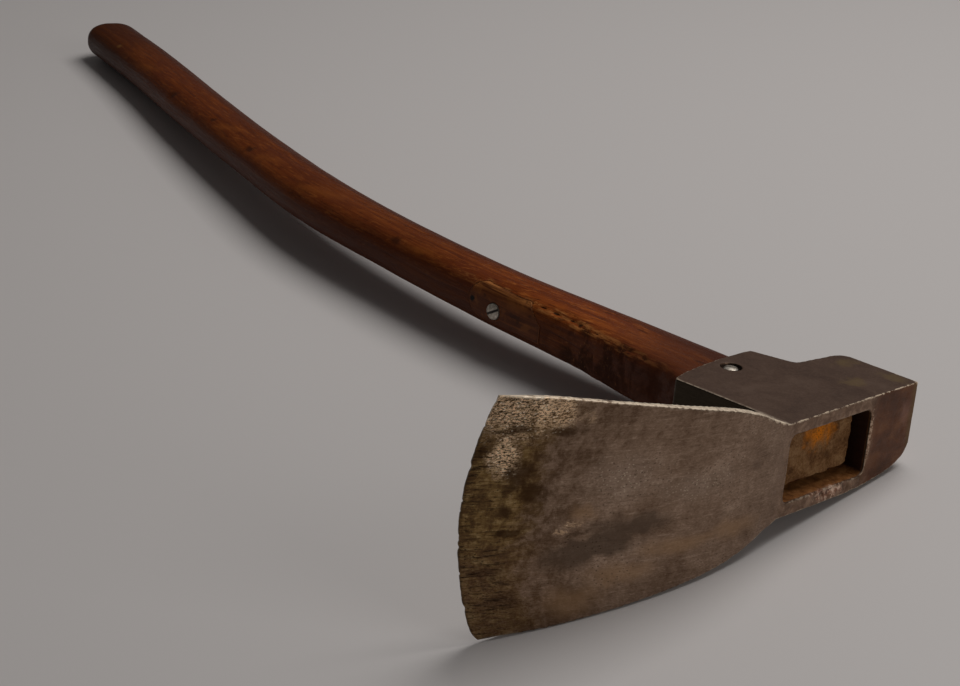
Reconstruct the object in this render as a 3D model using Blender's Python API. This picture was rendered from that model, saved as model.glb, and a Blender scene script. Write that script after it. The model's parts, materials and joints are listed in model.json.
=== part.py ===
"""Shipwright's flat adze: forged head on a curved ash handle, lying on its side.

Tool directions used while building, before the tool is laid down:
    X  along the head, blade toward -X and poll toward +X
    Y  along the handle, front face of the head at Y = 0 and grip toward +Y
    Z  across the blade, from the lower corner of the edge to the upper one
All lengths in the tables are millimetres; MM turns them into metres.
"""

import math

import bmesh
import bpy
from mathutils import Matrix, Vector

MM = 0.001
GAP = 0.3                      # clearance between pieces that touch

# Head: poll block, socket and lugs
HEAD_HALF = 23.0               # half the height of the block
HEAD_LEFT = -33.5              # outer face of the socket wall, on the blade side
POLL_FACE = 67.4               # striking face of the poll
LUG_NOTCH_Y = 49.4             # where the lugs leave the back of the poll
EYE_LEFT = -30.5
EYE_RIGHT = 31.5
EYE_HALF = 16.5
EYE_CORNER = 3.5
EYE_OPEN_Y = 50.5              # behind this the right side of the socket is open

# Blade: front face follows one curve that bends back toward the handle
BLADE_LENGTH = 171.0           # along the curve at the middle of the edge
BLADE_CORNER = 159.5           # along the curve at the two corners of the edge
BLADE_START_BEND = -0.068      # radians, direction at the root
BLADE_BEND_ROOT = 0.005177     # radians per mm
BLADE_BEND_EDGE = 0.001416     # radians per mm
BLADE_HALF_WIDTH = (           # share of the length, half width
    (-0.02, 22.2), (0.00, 23.0), (0.06, 26.7), (0.14, 32.2), (0.25, 37.3),
    (0.42, 42.6), (0.62, 48.1), (0.82, 52.7), (1.00, 55.3),
)
BLADE_THICKNESS = (            # share of the length, thickness
    (-0.02, 21.0), (0.00, 19.0), (0.04, 13.5), (0.10, 9.0), (0.20, 6.2),
    (0.40, 4.6), (0.60, 3.9), (0.80, 3.4), (0.90, 3.1), (1.00, 0.6),
)
BIT_WIDTH = 21.0               # width of the steel laid along the edge
BLADE_ROOT_SHARE = -0.012      # the blade starts this far inside the socket wall

# Handle: y, centre x, half width, centre z, half thickness, squareness
HANDLE_STATIONS = (
    (6.0, -1.9, 28.2, 2.2, 13.9, 11.0),
    (30.0, -0.9, 28.2, 2.0, 14.0, 11.0),
    (50.0, 0.6, 28.4, 1.6, 14.3, 10.0),
    (66.0, 4.2, 28.6, 1.2, 14.5, 8.0),
    (83.0, 12.4, 24.4, 0.8, 14.7, 7.0),
    (96.0, 16.6, 22.2, 0.6, 14.7, 6.0),
    (112.0, 19.0, 21.6, 0.4, 14.6, 5.4),
    (140.0, 23.4, 20.0, 0.2, 14.4, 4.6),
    (170.0, 27.4, 18.0, 0.0, 14.2, 4.0),
    (240.0, 33.6, 17.4, 0.0, 13.5, 3.2),
    (320.0, 45.9, 18.2, 0.0, 13.1, 2.7),
    (410.0, 65.1, 20.2, 0.1, 12.8, 2.5),
    (510.0, 98.6, 19.2, 0.3, 12.5, 2.4),
    (610.0, 136.3, 18.8, 0.5, 12.5, 2.4),
    (700.0, 172.4, 18.8, 0.7, 12.6, 2.4),
    (785.0, 202.6, 18.8, 0.9, 12.9, 2.4),
)
GRIP_END = (                   # distance past the last station, share of section
    (4.0, 0.97), (8.0, 0.88), (11.0, 0.72), (12.6, 0.50),
)
HANDLE_SIDES = 32

# Repair slip let into the blade side of the handle
SLIP_NEAR_Y = 190.0            # lower corner of the slanted near end
SLIP_NEAR_TOP_Y = 201.0
SLIP_FAR_Y = 246.0
SLIP_TOP = 11.0
SLIP_BOTTOM = -8.5
SLIP_SEAT = ((184.0, 15.5), (246.0, 23.5))    # y and x along the seat of the slip

# Screws
LUG_SCREW = (3.4, 62.9)        # x and y on the lugs
LUG_SCREW_SEAT = 17.9          # height of the head's underside
LUG_SCREW_LENGTH = 15.0
SIDE_SCREW_Y = 225.5
SIDE_SCREW_Z = -1.5
SIDE_SCREW_SEAT = -0.8         # underside of the head, below the slip's face
SIDE_SCREW_LENGTH = 26.0
SCREW_SHANK = 2.1
SCREW_HEAD = 4.4
SCREW_SIDES = 24

# How the tool lies on a flat floor
REST_ROLL = 8.41               # degrees about the handle, poll side down
REST_PITCH = 0.99              # degrees about the head, grip up


def clear_scene():
    for obj in list(bpy.data.objects):
        bpy.data.objects.remove(obj, do_unlink=True)
    for mesh in list(bpy.data.meshes):
        bpy.data.meshes.remove(mesh)
    for material in list(bpy.data.materials):
        bpy.data.materials.remove(material)


def make_material(name, colour, metallic, roughness):
    material = bpy.data.materials.new(name)
    material.use_nodes = True
    shader = material.node_tree.nodes["Principled BSDF"]
    shader.inputs["Base Color"].default_value = (*colour, 1.0)
    shader.inputs["Metallic"].default_value = metallic
    shader.inputs["Roughness"].default_value = roughness
    material.diffuse_color = (*colour, 1.0)
    return material


def build_object(name, verts, faces, material=None):
    """Mesh object from millimetre points, with every face turned outward."""
    mesh = bpy.data.meshes.new(name)
    mesh.from_pydata([tuple(c * MM for c in v) for v in verts], [], faces)
    work = bmesh.new()
    work.from_mesh(mesh)
    bmesh.ops.recalc_face_normals(work, faces=work.faces)
    work.to_mesh(mesh)
    work.free()
    if material is not None:
        mesh.materials.append(material)
    obj = bpy.data.objects.new(name, mesh)
    bpy.context.scene.collection.objects.link(obj)
    return obj


def loft(name, rings, material=None):
    """Closed solid through rings that all have the same number of points."""
    count = len(rings[0])
    verts = [point for ring in rings for point in ring]
    faces = [tuple(range(count))]
    for i in range(len(rings) - 1):
        for j in range(count):
            k = (j + 1) % count
            low = i * count
            high = low + count
            faces.append((low + j, low + k, high + k, high + j))
    last = (len(rings) - 1) * count
    faces.append(tuple(range(last, last + count)))
    return build_object(name, verts, faces, material)


def lathe(name, profile, place, material=None, sides=SCREW_SIDES):
    """Solid of revolution; profile is (height, radius), ends closed flat."""
    rings = []
    for height, radius in profile:
        ring = []
        for i in range(sides):
            angle = 2.0 * math.pi * i / sides
            point = Vector((radius * math.cos(angle), radius * math.sin(angle), height))
            ring.append(tuple(place @ point))
        rings.append(ring)
    return loft(name, rings, material)


def carve(target, cutter, operation="DIFFERENCE"):
    """Exact boolean that stays live; the tool shape is kept but never drawn."""
    cutter.hide_render = True
    cutter.display_type = "WIRE"
    modifier = target.modifiers.new(cutter.name, "BOOLEAN")
    modifier.operation = operation
    modifier.solver = "EXACT"
    modifier.object = cutter


def interpolate(table, value):
    """Smooth curve through a table of (key, number) rows."""
    if value <= table[0][0]:
        return table[0][1]
    if value >= table[-1][0]:
        return table[-1][1]
    slopes = []
    for i in range(len(table)):
        before = table[max(i - 1, 0)]
        after = table[min(i + 1, len(table) - 1)]
        slopes.append((after[1] - before[1]) / (after[0] - before[0]))
    for i in range(len(table) - 1):
        k0, v0 = table[i]
        k1, v1 = table[i + 1]
        if value <= k1:
            break
    span = k1 - k0
    t = (value - k0) / span
    a = (1 + 2 * t) * (1 - t) ** 2 * v0
    b = t * (1 - t) ** 2 * span * slopes[i]
    c = t * t * (3 - 2 * t) * v1
    d = t * t * (t - 1) * span * slopes[i + 1]
    return a + b + c + d


def blade_curve(s):
    """Point and direction angle of the blade's front face, s mm from the root."""
    steps = 40
    x = HEAD_LEFT
    y = 0.0
    ds = s / steps
    for i in range(steps):
        m = (i + 0.5) * ds
        bend = BLADE_START_BEND + BLADE_BEND_ROOT * m
        bend += 0.5 * (BLADE_BEND_EDGE - BLADE_BEND_ROOT) * m * m / BLADE_LENGTH
        x -= math.cos(bend) * ds
        y += math.sin(bend) * ds
    bend = BLADE_START_BEND + BLADE_BEND_ROOT * s
    bend += 0.5 * (BLADE_BEND_EDGE - BLADE_BEND_ROOT) * s * s / BLADE_LENGTH
    return x, y, bend


def blade_solid(name, shares, material):
    """Closed strip of the blade between the first and the last share of its length."""
    columns = 12
    front = []
    back = []
    for share in shares:
        width = interpolate(BLADE_HALF_WIDTH, share)
        thickness = interpolate(BLADE_THICKNESS, share)
        front_row = []
        back_row = []
        for j in range(columns + 1):
            v = 2.0 * j / columns - 1.0
            length = BLADE_LENGTH - (BLADE_LENGTH - BLADE_CORNER) * v * v
            x, y, bend = blade_curve(share * length)
            z = v * width
            front_row.append((x, y, z))
            back_row.append((x + math.sin(bend) * thickness, y + math.cos(bend) * thickness, z))
        front.append(front_row)
        back.append(back_row)
    rings = [f + list(reversed(b)) for f, b in zip(front, back)]
    count = len(rings[0])
    verts = [point for ring in rings for point in ring]
    faces = []
    for i in range(len(rings) - 1):
        for j in range(count):
            k = (j + 1) % count
            faces.append((i * count + j, i * count + k, (i + 1) * count + k, (i + 1) * count + j))
    for i in (0, len(rings) - 1):
        for j in range(columns):
            a = i * count + j
            b = i * count + count - 1 - j
            faces.append((a, a + 1, b - 1, b))
    return build_object(name, verts, faces, material)


def prism_z(name, outline, low, high, material=None):
    return loft(name, [[(x, y, low) for x, y in outline], [(x, y, high) for x, y in outline]], material)


def rounded_rectangle(left, right, bottom, top, radius):
    points = []
    centres = (
        (right - radius, top - radius, 0), (left + radius, top - radius, 90),
        (left + radius, bottom + radius, 180), (right - radius, bottom + radius, 270),
    )
    for cx, cz, start in centres:
        for step in range(4):
            angle = math.radians(start + 30 * step)
            points.append((cx + radius * math.cos(angle), cz + radius * math.sin(angle)))
    return points


def build_head(iron):
    outline = [
        (HEAD_LEFT, 0.0), (POLL_FACE, 0.0), (POLL_FACE, 38.0), (66.9, 41.0), (65.2, 43.6),
        (62.6, 45.2), (59.5, 45.9), (39.0, 48.6), (36.6, LUG_NOTCH_Y), (35.2, 51.8),
        (30.6, 71.0), (29.4, 72.4), (18.0, 73.1), (8.0, 72.9), (-8.0, 71.8), (-22.0, 70.0),
        (-32.0, 67.6), (HEAD_LEFT, 66.2),
    ]
    head = prism_z("adze_head", outline, -HEAD_HALF, HEAD_HALF, iron)

    shares = [BLADE_ROOT_SHARE, 0.006, 0.02, 0.04, 0.07, 0.10, 0.14, 0.19, 0.25, 0.32, 0.40]
    shares += [0.48, 0.56, 0.64, 0.72, 0.79, 1.0 - (BIT_WIDTH + GAP) / BLADE_LENGTH]
    carve(head, blade_solid("blade_forging", shares, None), "UNION")

    front = [
        (14.0, -23.4), (31.0, -22.2), (47.0, -19.8), (57.0, -17.0), (63.0, -14.0),
        (66.2, -10.2), (67.8, -5.0), (76.0, -5.0), (76.0, -30.0), (14.0, -30.0),
    ]
    rear = [
        (38.0, -23.4), (46.0, -22.9), (54.0, -22.2), (60.0, -21.0), (64.0, -19.2),
        (66.5, -16.4), (67.8, -12.0), (76.0, -12.0), (76.0, -30.0), (38.0, -30.0),
    ]
    wear = [[(x, -3.0, z) for x, z in front], [(x, 56.0, z) for x, z in rear]]
    carve(head, loft("poll_wear_cutter", wear))

    eye = []
    for y, right in ((-4.0, EYE_RIGHT), (EYE_OPEN_Y, EYE_RIGHT), (EYE_OPEN_Y + 2.0, 48.0), (90.0, 48.0)):
        ring = rounded_rectangle(EYE_LEFT, right, -EYE_HALF, EYE_HALF, EYE_CORNER)
        eye.append([(x, y, z) for x, z in ring])
    carve(head, loft("eye_cutter", eye))

    for side, tag in ((1.0, "top"), (-1.0, "bottom")):
        profile = ((14.0, 2.5), (18.2, 2.5), (21.2, 5.3), (26.0, 5.3))
        carve(head, lathe(tag + "_lug_hole_cutter", profile, lug_frame(side)))
    return head


def build_bit(steel):
    start = 1.0 - BIT_WIDTH / BLADE_LENGTH
    shares = [start, 0.5 * (start + 0.90), 0.90, 0.93, 0.965, 1.0]
    return blade_solid("steel_bit", shares, steel)


def lug_frame(side):
    """Axis of a lug screw, heights measured outward from the middle of the tool."""
    place = Matrix.Translation((LUG_SCREW[0], LUG_SCREW[1], 0.0))
    if side < 0:
        place = place @ Matrix.Rotation(math.pi, 4, "X")
    return place


def side_frame():
    """Axis of the side screw, heights measured outward from the slip's face."""
    face = handle_left(SIDE_SCREW_Y)
    place = Matrix.Translation((face, SIDE_SCREW_Y, SIDE_SCREW_Z))
    return place @ Matrix.Rotation(-math.pi / 2.0, 4, "Y")


def station(y):
    row = []
    for column in range(1, 6):
        row.append(interpolate([(s[0], s[column]) for s in HANDLE_STATIONS], y))
    return row


def handle_left(y):
    x, half, _, _, _ = station(y)
    return x - half


def handle_ring(y, advance=0.0, share=1.0):
    """One rounded section of the handle, square near the head and oval at the grip."""
    x, half, z, thick, square = station(y)
    slope = (station(y + 1.0)[0] - station(y - 1.0)[0]) / 2.0
    if y > HANDLE_STATIONS[-1][0] - 2.0:
        slope = (station(y)[0] - station(y - 6.0)[0]) / 6.0
    turn = min(max((y - 110.0) / 110.0, 0.0), 1.0)
    angle = math.atan(slope) * turn * turn * (3.0 - 2.0 * turn)
    along = (math.sin(angle), math.cos(angle))
    across = (math.cos(angle), -math.sin(angle))
    ring = []
    for i in range(HANDLE_SIDES):
        a = 2.0 * math.pi * (i + 0.5) / HANDLE_SIDES
        c = math.cos(a)
        s = math.sin(a)
        u = half * share * math.copysign(abs(c) ** (2.0 / square), c)
        w = thick * share * math.copysign(abs(s) ** (2.0 / square), s)
        ring.append((x + along[0] * advance + across[0] * u, y + along[1] * advance + across[1] * u, z + w))
    return ring


def handle_blank(name, material=None):
    first = HANDLE_STATIONS[0][0]
    last = HANDLE_STATIONS[-1][0]
    rows = [first, 18.0, 30.0, 40.0, 50.0, 58.0, 66.0, 72.0, 78.0, 84.0, 90.0, 97.0, 105.0, 114.0, 126.0]
    y = 140.0
    while y < last:
        rows.append(y)
        y += 18.0
    rows.append(last)
    rings = [handle_ring(y) for y in rows]
    rings += [handle_ring(last, advance, share) for advance, share in GRIP_END]
    return loft(name, rings, material)


def slip_block(name, inset):
    """Block whose far end is a half round, used for the seat and for the slip."""
    near = SLIP_NEAR_Y + inset
    near_top = SLIP_NEAR_TOP_Y + inset
    far = SLIP_FAR_Y - inset
    top = SLIP_TOP - inset
    bottom = SLIP_BOTTOM + inset
    middle = 0.5 * (top + bottom)
    radius = 0.5 * (top - bottom)
    outline = [(near, bottom), (near, middle), (near_top, top)]
    for step in range(13):
        angle = math.radians(90.0 - 15.0 * step)
        outline.append((far - radius + radius * math.cos(angle), middle + radius * math.sin(angle)))
    (y0, x0), (y1, x1) = SLIP_SEAT
    outer = []
    inner = []
    for y, z in outline:
        seat = x0 + (x1 - x0) * (y - y0) / (y1 - y0)
        outer.append((-30.0, y, z))
        inner.append((seat - inset, y, z))
    return loft(name, [outer, inner])


def build_handle(wood):
    handle = handle_blank("handle", wood)
    carve(handle, slip_block("slip_seat_cutter", 0.0))
    for side, tag in ((1.0, "top"), (-1.0, "bottom")):
        depth = LUG_SCREW_SEAT - LUG_SCREW_LENGTH - 0.6
        profile = ((depth, SCREW_SHANK + GAP), (20.0, SCREW_SHANK + GAP))
        carve(handle, lathe(tag + "_pilot_cutter", profile, lug_frame(side)))
    profile = ((SIDE_SCREW_SEAT - SIDE_SCREW_LENGTH - 0.6, SCREW_SHANK + GAP), (3.0, SCREW_SHANK + GAP))
    carve(handle, lathe("side_pilot_cutter", profile, side_frame()))
    return handle


def build_slip(wood):
    slip = handle_blank("repair_slip", wood)
    carve(slip, slip_block("slip_shape", GAP), "INTERSECT")
    bore = SCREW_SHANK + GAP
    sink = SCREW_HEAD + GAP
    profile = ((-30.0, bore), (SIDE_SCREW_SEAT - GAP, bore), (SIDE_SCREW_SEAT - GAP + 0.01, sink), (6.0, sink))
    carve(slip, lathe("slip_hole_cutter", profile, side_frame()))
    return slip


def build_screw(name, place, seat, length, head, steel):
    """Slotted wood screw; seat is the height of the underside of its head."""
    tip = seat - length
    profile = [(tip, 0.3), (tip + 5.0, SCREW_SHANK), (seat, SCREW_SHANK)]
    profile += [(seat + rise, radius) for rise, radius in head]
    screw = lathe(name, profile, place, steel)
    top = seat + head[-1][0]
    slot = []
    for height in (top - 0.9, top + 2.0):
        corners = ((-7.0, -0.6), (7.0, -0.6), (7.0, 0.6), (-7.0, 0.6))
        spin = Matrix.Rotation(math.radians(20.0), 4, "Z")
        slot.append([tuple(place @ spin @ Vector((x, y, height))) for x, y in corners])
    carve(screw, loft(name + "_slot_cutter", slot))
    return screw


def finished_points():
    """Every vertex of the finished pieces, with all cuts made."""
    graph = bpy.context.evaluated_depsgraph_get()
    graph.update()
    points = []
    for obj in bpy.data.objects:
        if obj.hide_render:
            continue
        finished = obj.evaluated_get(graph)
        mesh = finished.to_mesh()
        points += [vertex.co.copy() for vertex in mesh.vertices]
        finished.to_mesh_clear()
    return points


def lay_down():
    """Turn every mesh into the lying pose, lowest point on the floor."""
    roll = Matrix.Rotation(math.radians(REST_ROLL), 4, "Y")
    pitch = Matrix.Rotation(math.radians(REST_PITCH), 4, "X")
    for obj in bpy.data.objects:
        obj.data.transform(roll @ pitch)
        obj.data.update()
    points = finished_points()
    low = min(p.z for p in points)
    middle_x = 0.5 * (min(p.x for p in points) + max(p.x for p in points))
    middle_y = 0.5 * (min(p.y for p in points) + max(p.y for p in points))
    shift = Matrix.Translation((-middle_x, -middle_y, -low))
    for obj in bpy.data.objects:
        obj.data.transform(shift)
        obj.data.update()


def main():
    clear_scene()
    iron = make_material("forged_iron", (0.20, 0.17, 0.14), 1.0, 0.45)
    steel = make_material("bit_steel", (0.30, 0.26, 0.21), 1.0, 0.35)
    ash = make_material("handle_wood", (0.36, 0.16, 0.06), 0.0, 0.45)
    slip_wood = make_material("slip_wood", (0.30, 0.15, 0.08), 0.0, 0.50)
    screw_steel = make_material("screw_steel", (0.55, 0.54, 0.52), 1.0, 0.30)

    build_head(iron)
    build_bit(steel)
    build_handle(ash)
    build_slip(slip_wood)
    sunk = ((3.0, SCREW_HEAD - 0.2), (3.5, SCREW_HEAD), (4.1, SCREW_HEAD * 0.7))
    build_screw("top_lug_screw", lug_frame(1.0), LUG_SCREW_SEAT, LUG_SCREW_LENGTH, sunk, screw_steel)
    build_screw("bottom_lug_screw", lug_frame(-1.0), LUG_SCREW_SEAT, LUG_SCREW_LENGTH, sunk, screw_steel)
    proud = ((0.001, SCREW_HEAD), (1.2, SCREW_HEAD - 0.1), (2.3, SCREW_HEAD * 0.72), (2.7, SCREW_HEAD * 0.4))
    build_screw("side_screw", side_frame(), SIDE_SCREW_SEAT, SIDE_SCREW_LENGTH, proud, screw_steel)
    lay_down()


main()
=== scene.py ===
"""Looks of the shipwright's adze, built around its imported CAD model.

Pieces are modelled in tool directions, in millimetres, and laid down into the part's frame at the end:
    X  along the head, blade toward -X and poll toward +X
    Y  along the handle, front face of the head at Y = 0 and grip toward +Y
    Z  across the blade, from the lower corner of the edge to the upper one
"""

import json
import math

import bmesh
import bpy
import numpy as np
from mathutils import Matrix, Vector


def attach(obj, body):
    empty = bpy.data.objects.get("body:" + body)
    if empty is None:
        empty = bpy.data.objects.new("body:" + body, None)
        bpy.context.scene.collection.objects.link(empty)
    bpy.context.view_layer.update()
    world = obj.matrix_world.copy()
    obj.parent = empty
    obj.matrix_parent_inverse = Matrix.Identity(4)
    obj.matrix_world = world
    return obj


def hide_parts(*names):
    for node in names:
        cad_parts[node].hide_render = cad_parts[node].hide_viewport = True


MM = 0.001
BODY = "root"

# Head, as in the CAD: poll block, socket and lugs
HEAD_HALF = 23.0
HEAD_LEFT = -33.5
POLL_FACE = 67.4
POLL_MOUNT = (POLL_FACE, 20.0, 8.0)     # place of the mount named poll_face
EYE_LEFT = -30.5
EYE_RIGHT = 31.5
EYE_HALF = 16.5
EYE_CORNER = 3.5
EYE_OPEN_Y = 50.5               # behind this the socket is cut open on the poll side
EYE_OPEN_RIGHT = 48.0
LUG_HOLE = ((14.0, 2.5), (18.2, 2.5), (21.2, 5.3), (26.0, 5.3))  # height and radius, countersunk
HEAD_OUTLINE = (                # x and y of the block and lugs, seen along Z
    (HEAD_LEFT, 0.0), (POLL_FACE, 0.0), (POLL_FACE, 38.0), (66.9, 41.0), (65.2, 43.6),
    (62.6, 45.2), (59.5, 45.9), (39.0, 48.6), (36.6, 49.4), (35.2, 51.8),
    (30.6, 71.0), (29.4, 72.4), (18.0, 73.1), (8.0, 72.9), (-8.0, 71.8), (-22.0, 70.0),
    (-32.0, 67.6), (HEAD_LEFT, 66.2),
)
POLL_WEAR_FRONT = (             # x and z of the worn lower corner of the poll, at the front
    (14.0, -23.4), (31.0, -22.2), (47.0, -19.8), (57.0, -17.0), (63.0, -14.0),
    (66.2, -10.2), (67.8, -5.0), (76.0, -5.0), (76.0, -30.0), (14.0, -30.0),
)
POLL_WEAR_REAR = (
    (38.0, -23.4), (46.0, -22.9), (54.0, -22.2), (60.0, -21.0), (64.0, -19.2),
    (66.5, -16.4), (67.8, -12.0), (76.0, -12.0), (76.0, -30.0), (38.0, -30.0),
)

# Blade, as in the CAD: the front face follows one curve that bends back toward the handle
BLADE_LENGTH = 171.0
BLADE_CORNER = 159.5
BLADE_START_BEND = -0.068
BLADE_BEND_ROOT = 0.005177
BLADE_BEND_EDGE = 0.001416
BLADE_STEPS = 40                # straight steps that stand for the curve
BLADE_HALF_WIDTH = (
    (-0.02, 22.2), (0.00, 23.0), (0.06, 26.7), (0.14, 32.2), (0.25, 37.3),
    (0.42, 42.6), (0.62, 48.1), (0.82, 52.7), (1.00, 55.3),
)
BLADE_THICKNESS = (
    (-0.02, 21.0), (0.00, 19.0), (0.04, 13.5), (0.10, 9.0), (0.20, 6.2),
    (0.40, 4.6), (0.60, 3.9), (0.80, 3.4), (0.90, 3.1), (1.00, 0.6),
)
BIT_WIDTH = 21.0
TOE_START = 0.90                # the lower corner of the edge is worn round from this share of the width
TOE_WEAR = 2.2
BIT_LAP = 3.2                   # the steel runs this far over the iron at the weld
EDGE_CHIPS = ((-12.0, 1.0, 0.6), (-40.0, 1.2, 0.5), (24.0, 1.6, 0.7))  # height, width and depth

# Handle, as in the CAD: y, centre x, half width, centre z, half thickness, squareness
HANDLE_STATIONS = (
    (6.0, -1.9, 28.2, 2.2, 13.9, 11.0),
    (30.0, -0.9, 28.2, 2.0, 14.0, 11.0),
    (50.0, 0.6, 28.4, 1.6, 14.3, 10.0),
    (66.0, 4.2, 28.6, 1.2, 14.5, 8.0),
    (83.0, 12.4, 24.4, 0.8, 14.7, 7.0),
    (96.0, 16.6, 22.2, 0.6, 14.7, 6.0),
    (112.0, 19.0, 21.6, 0.4, 14.6, 5.4),
    (140.0, 23.4, 20.0, 0.2, 14.4, 4.6),
    (170.0, 27.4, 18.0, 0.0, 14.2, 4.0),
    (240.0, 33.6, 17.4, 0.0, 13.5, 3.2),
    (320.0, 45.9, 18.2, 0.0, 13.1, 2.7),
    (410.0, 65.1, 20.2, 0.1, 12.8, 2.5),
    (510.0, 98.6, 19.2, 0.3, 12.5, 2.4),
    (610.0, 136.3, 18.8, 0.5, 12.5, 2.4),
    (700.0, 172.4, 18.8, 0.7, 12.6, 2.4),
    (785.0, 202.6, 18.8, 0.9, 12.9, 2.4),
)
GRIP_LENGTH = 12.4              # rounded end past the last station
HANDLE_SIDES = 144
HANDLE_STEP = 1.6               # length of one row of the handle's surface
ARRIS_CHIPS = (                 # places and radii
    (14.5, 203.0, 11.0, 2.3), (12.1, 182.5, 12.0, 1.9), (8.2, 163.0, 11.5, 2.4),
    (5.6, 150.0, 12.5, 1.6), (1.0, 131.0, 12.2, 2.2), (-2.5, 113.0, 12.2, 2.0),
    (-5.5, 100.0, 12.2, 2.4), (20.5, 236.0, 11.5, 1.7),
)
KNOTS = (
    (124.6, 623.0, 8.6, 4.2), (102.2, 556.0, 10.6, 3.2), (78.7, 494.3, 10.3, 5.0),
    (30.1, 316.4, 9.5, 4.0),
)

# Repair slip, as in the CAD
SLIP_NEAR_Y = 190.0
SLIP_NEAR_TOP_Y = 201.0
SLIP_FAR_Y = 246.0
SLIP_TOP = 11.0
SLIP_BOTTOM = -8.5
SLIP_SEAT = ((184.0, 15.5), (246.0, 23.5))
SLIP_GAP = 0.25

# Screws, as in the CAD
LUG_SCREW = (3.4, 62.9)
LUG_SCREW_SEAT = 17.9
LUG_SCREW_LENGTH = 15.0
SIDE_SCREW_Y = 225.5
SIDE_SCREW_Z = -1.5
SIDE_SCREW_SEAT = -0.8
SIDE_SCREW_LENGTH = 26.0
SCREW_SHANK = 2.1
SCREW_HEAD = 4.4
LUG_SCREW_HEAD = 3.9            # worn smaller than its countersink
SLOT_WIDTH = 1.3
SLOT_DEPTH = 1.0
SLOT_REACH = 7.0                # half length of the slot's cutter, past the head's rim
BURR = 0.09                     # rounding of the edges of a screw head

REMESH_CELL = 0.62              # mm, size of the head's surface cells

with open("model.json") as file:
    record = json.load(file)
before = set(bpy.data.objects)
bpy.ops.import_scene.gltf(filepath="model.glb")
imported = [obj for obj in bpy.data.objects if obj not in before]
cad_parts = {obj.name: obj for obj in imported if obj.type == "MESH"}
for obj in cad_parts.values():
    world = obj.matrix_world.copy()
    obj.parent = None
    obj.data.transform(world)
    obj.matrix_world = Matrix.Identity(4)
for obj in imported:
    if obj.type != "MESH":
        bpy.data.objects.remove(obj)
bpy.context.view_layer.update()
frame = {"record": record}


# ---------------------------------------------------------------- frame and numbers

def tool_place(record):
    """Where the tool's own axes lie in the part's frame, from the two flat mounts."""
    mounts = {m["name"]: m for m in record["mounts"]}
    x_axis = Vector(mounts["poll_face"]["axis"]).normalized()
    z_axis = Vector(mounts["top_lug_face"]["axis"]).normalized()
    y_axis = z_axis.cross(x_axis).normalized()
    turn = Matrix((x_axis, y_axis, x_axis.cross(y_axis))).transposed()
    origin = Vector(mounts["poll_face"]["pos_m"]) - turn @ (Vector(POLL_MOUNT) * MM)
    return Matrix.Translation(origin) @ turn.to_4x4()


TOOL = tool_place(frame["record"])


def interpolate(table, value):
    """Smooth curve through a table of (key, number) rows."""
    if value <= table[0][0]:
        return table[0][1]
    if value >= table[-1][0]:
        return table[-1][1]
    slopes = []
    for i in range(len(table)):
        before = table[max(i - 1, 0)]
        after = table[min(i + 1, len(table) - 1)]
        slopes.append((after[1] - before[1]) / (after[0] - before[0]))
    for i in range(len(table) - 1):
        k0, v0 = table[i]
        k1, v1 = table[i + 1]
        if value <= k1:
            break
    span = k1 - k0
    t = (value - k0) / span
    a = (1 + 2 * t) * (1 - t) ** 2 * v0
    b = t * (1 - t) ** 2 * span * slopes[i]
    c = t * t * (3 - 2 * t) * v1
    d = t * t * (t - 1) * span * slopes[i + 1]
    return a + b + c + d


def smoothstep(low, high, value):
    t = np.clip((value - low) / (high - low), 0.0, 1.0)
    return t * t * (3.0 - 2.0 * t)


def lattice_hash(cells, seed):
    """One repeatable number from 0 to 1 for each whole-number cell."""
    mixed = cells[..., 0] * 73856093 ^ cells[..., 1] * 19349663 ^ cells[..., 2] * 83492791
    mixed = (mixed ^ (seed * 2654435761)) & 0xFFFFFFFF
    mixed = (mixed ^ (mixed >> 15)) * 2246822519 & 0xFFFFFFFF
    mixed = (mixed ^ (mixed >> 13)) * 3266489917 & 0xFFFFFFFF
    return ((mixed ^ (mixed >> 16)) & 0xFFFFFF) / float(0xFFFFFF)


def value_noise(points, size, seed):
    """Smooth noise from -1 to 1; size is its grain in mm, one number or one per axis."""
    scaled = points / np.asarray(size, float)
    cells = np.floor(scaled).astype(np.int64)
    part = scaled - cells
    part = part * part * (3.0 - 2.0 * part)
    total = np.zeros(len(points))
    for corner in range(8):
        step = np.array([corner & 1, corner >> 1 & 1, corner >> 2 & 1])
        weight = np.prod(np.where(step == 1, part, 1.0 - part), axis=1)
        total += weight * lattice_hash(cells + step, seed)
    return total * 2.0 - 1.0


def fractal(points, size, octaves, seed):
    """Layers of noise, each half the grain and half the strength of the last."""
    total = np.zeros(len(points))
    grain = np.asarray(size, float)
    strength = 1.0
    for octave in range(octaves):
        total += strength * value_noise(points, grain, seed + octave)
        grain = grain * 0.5
        strength *= 0.5
    return total


def spots(points, places):
    """Sum of soft round marks; each place is (x, y, z, radius)."""
    total = np.zeros(len(points))
    for x, y, z, radius in places:
        distance = np.linalg.norm(points - np.array([x, y, z]), axis=1)
        total += np.exp(-(distance / radius) ** 2)
    return total


# ---------------------------------------------------------------- meshes

def make_object(name, verts, faces):
    """Mesh object from points, faces turned outward."""
    mesh = bpy.data.meshes.new(name)
    mesh.from_pydata([tuple(v) for v in verts], [], faces)
    work = bmesh.new()
    work.from_mesh(mesh)
    bmesh.ops.recalc_face_normals(work, faces=work.faces)
    work.to_mesh(mesh)
    work.free()
    obj = bpy.data.objects.new(name, mesh)
    bpy.context.scene.collection.objects.link(obj)
    return obj


def loft_faces(rings, count, closed_ends=True):
    """Quads between neighbouring rings of the same number of points."""
    faces = []
    for i in range(rings - 1):
        for j in range(count):
            k = (j + 1) % count
            low = i * count
            high = low + count
            faces.append((low + j, low + k, high + k, high + j))
    if closed_ends:
        faces.append(tuple(range(count)))
        faces.append(tuple(range((rings - 1) * count, rings * count)))
    return faces


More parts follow.
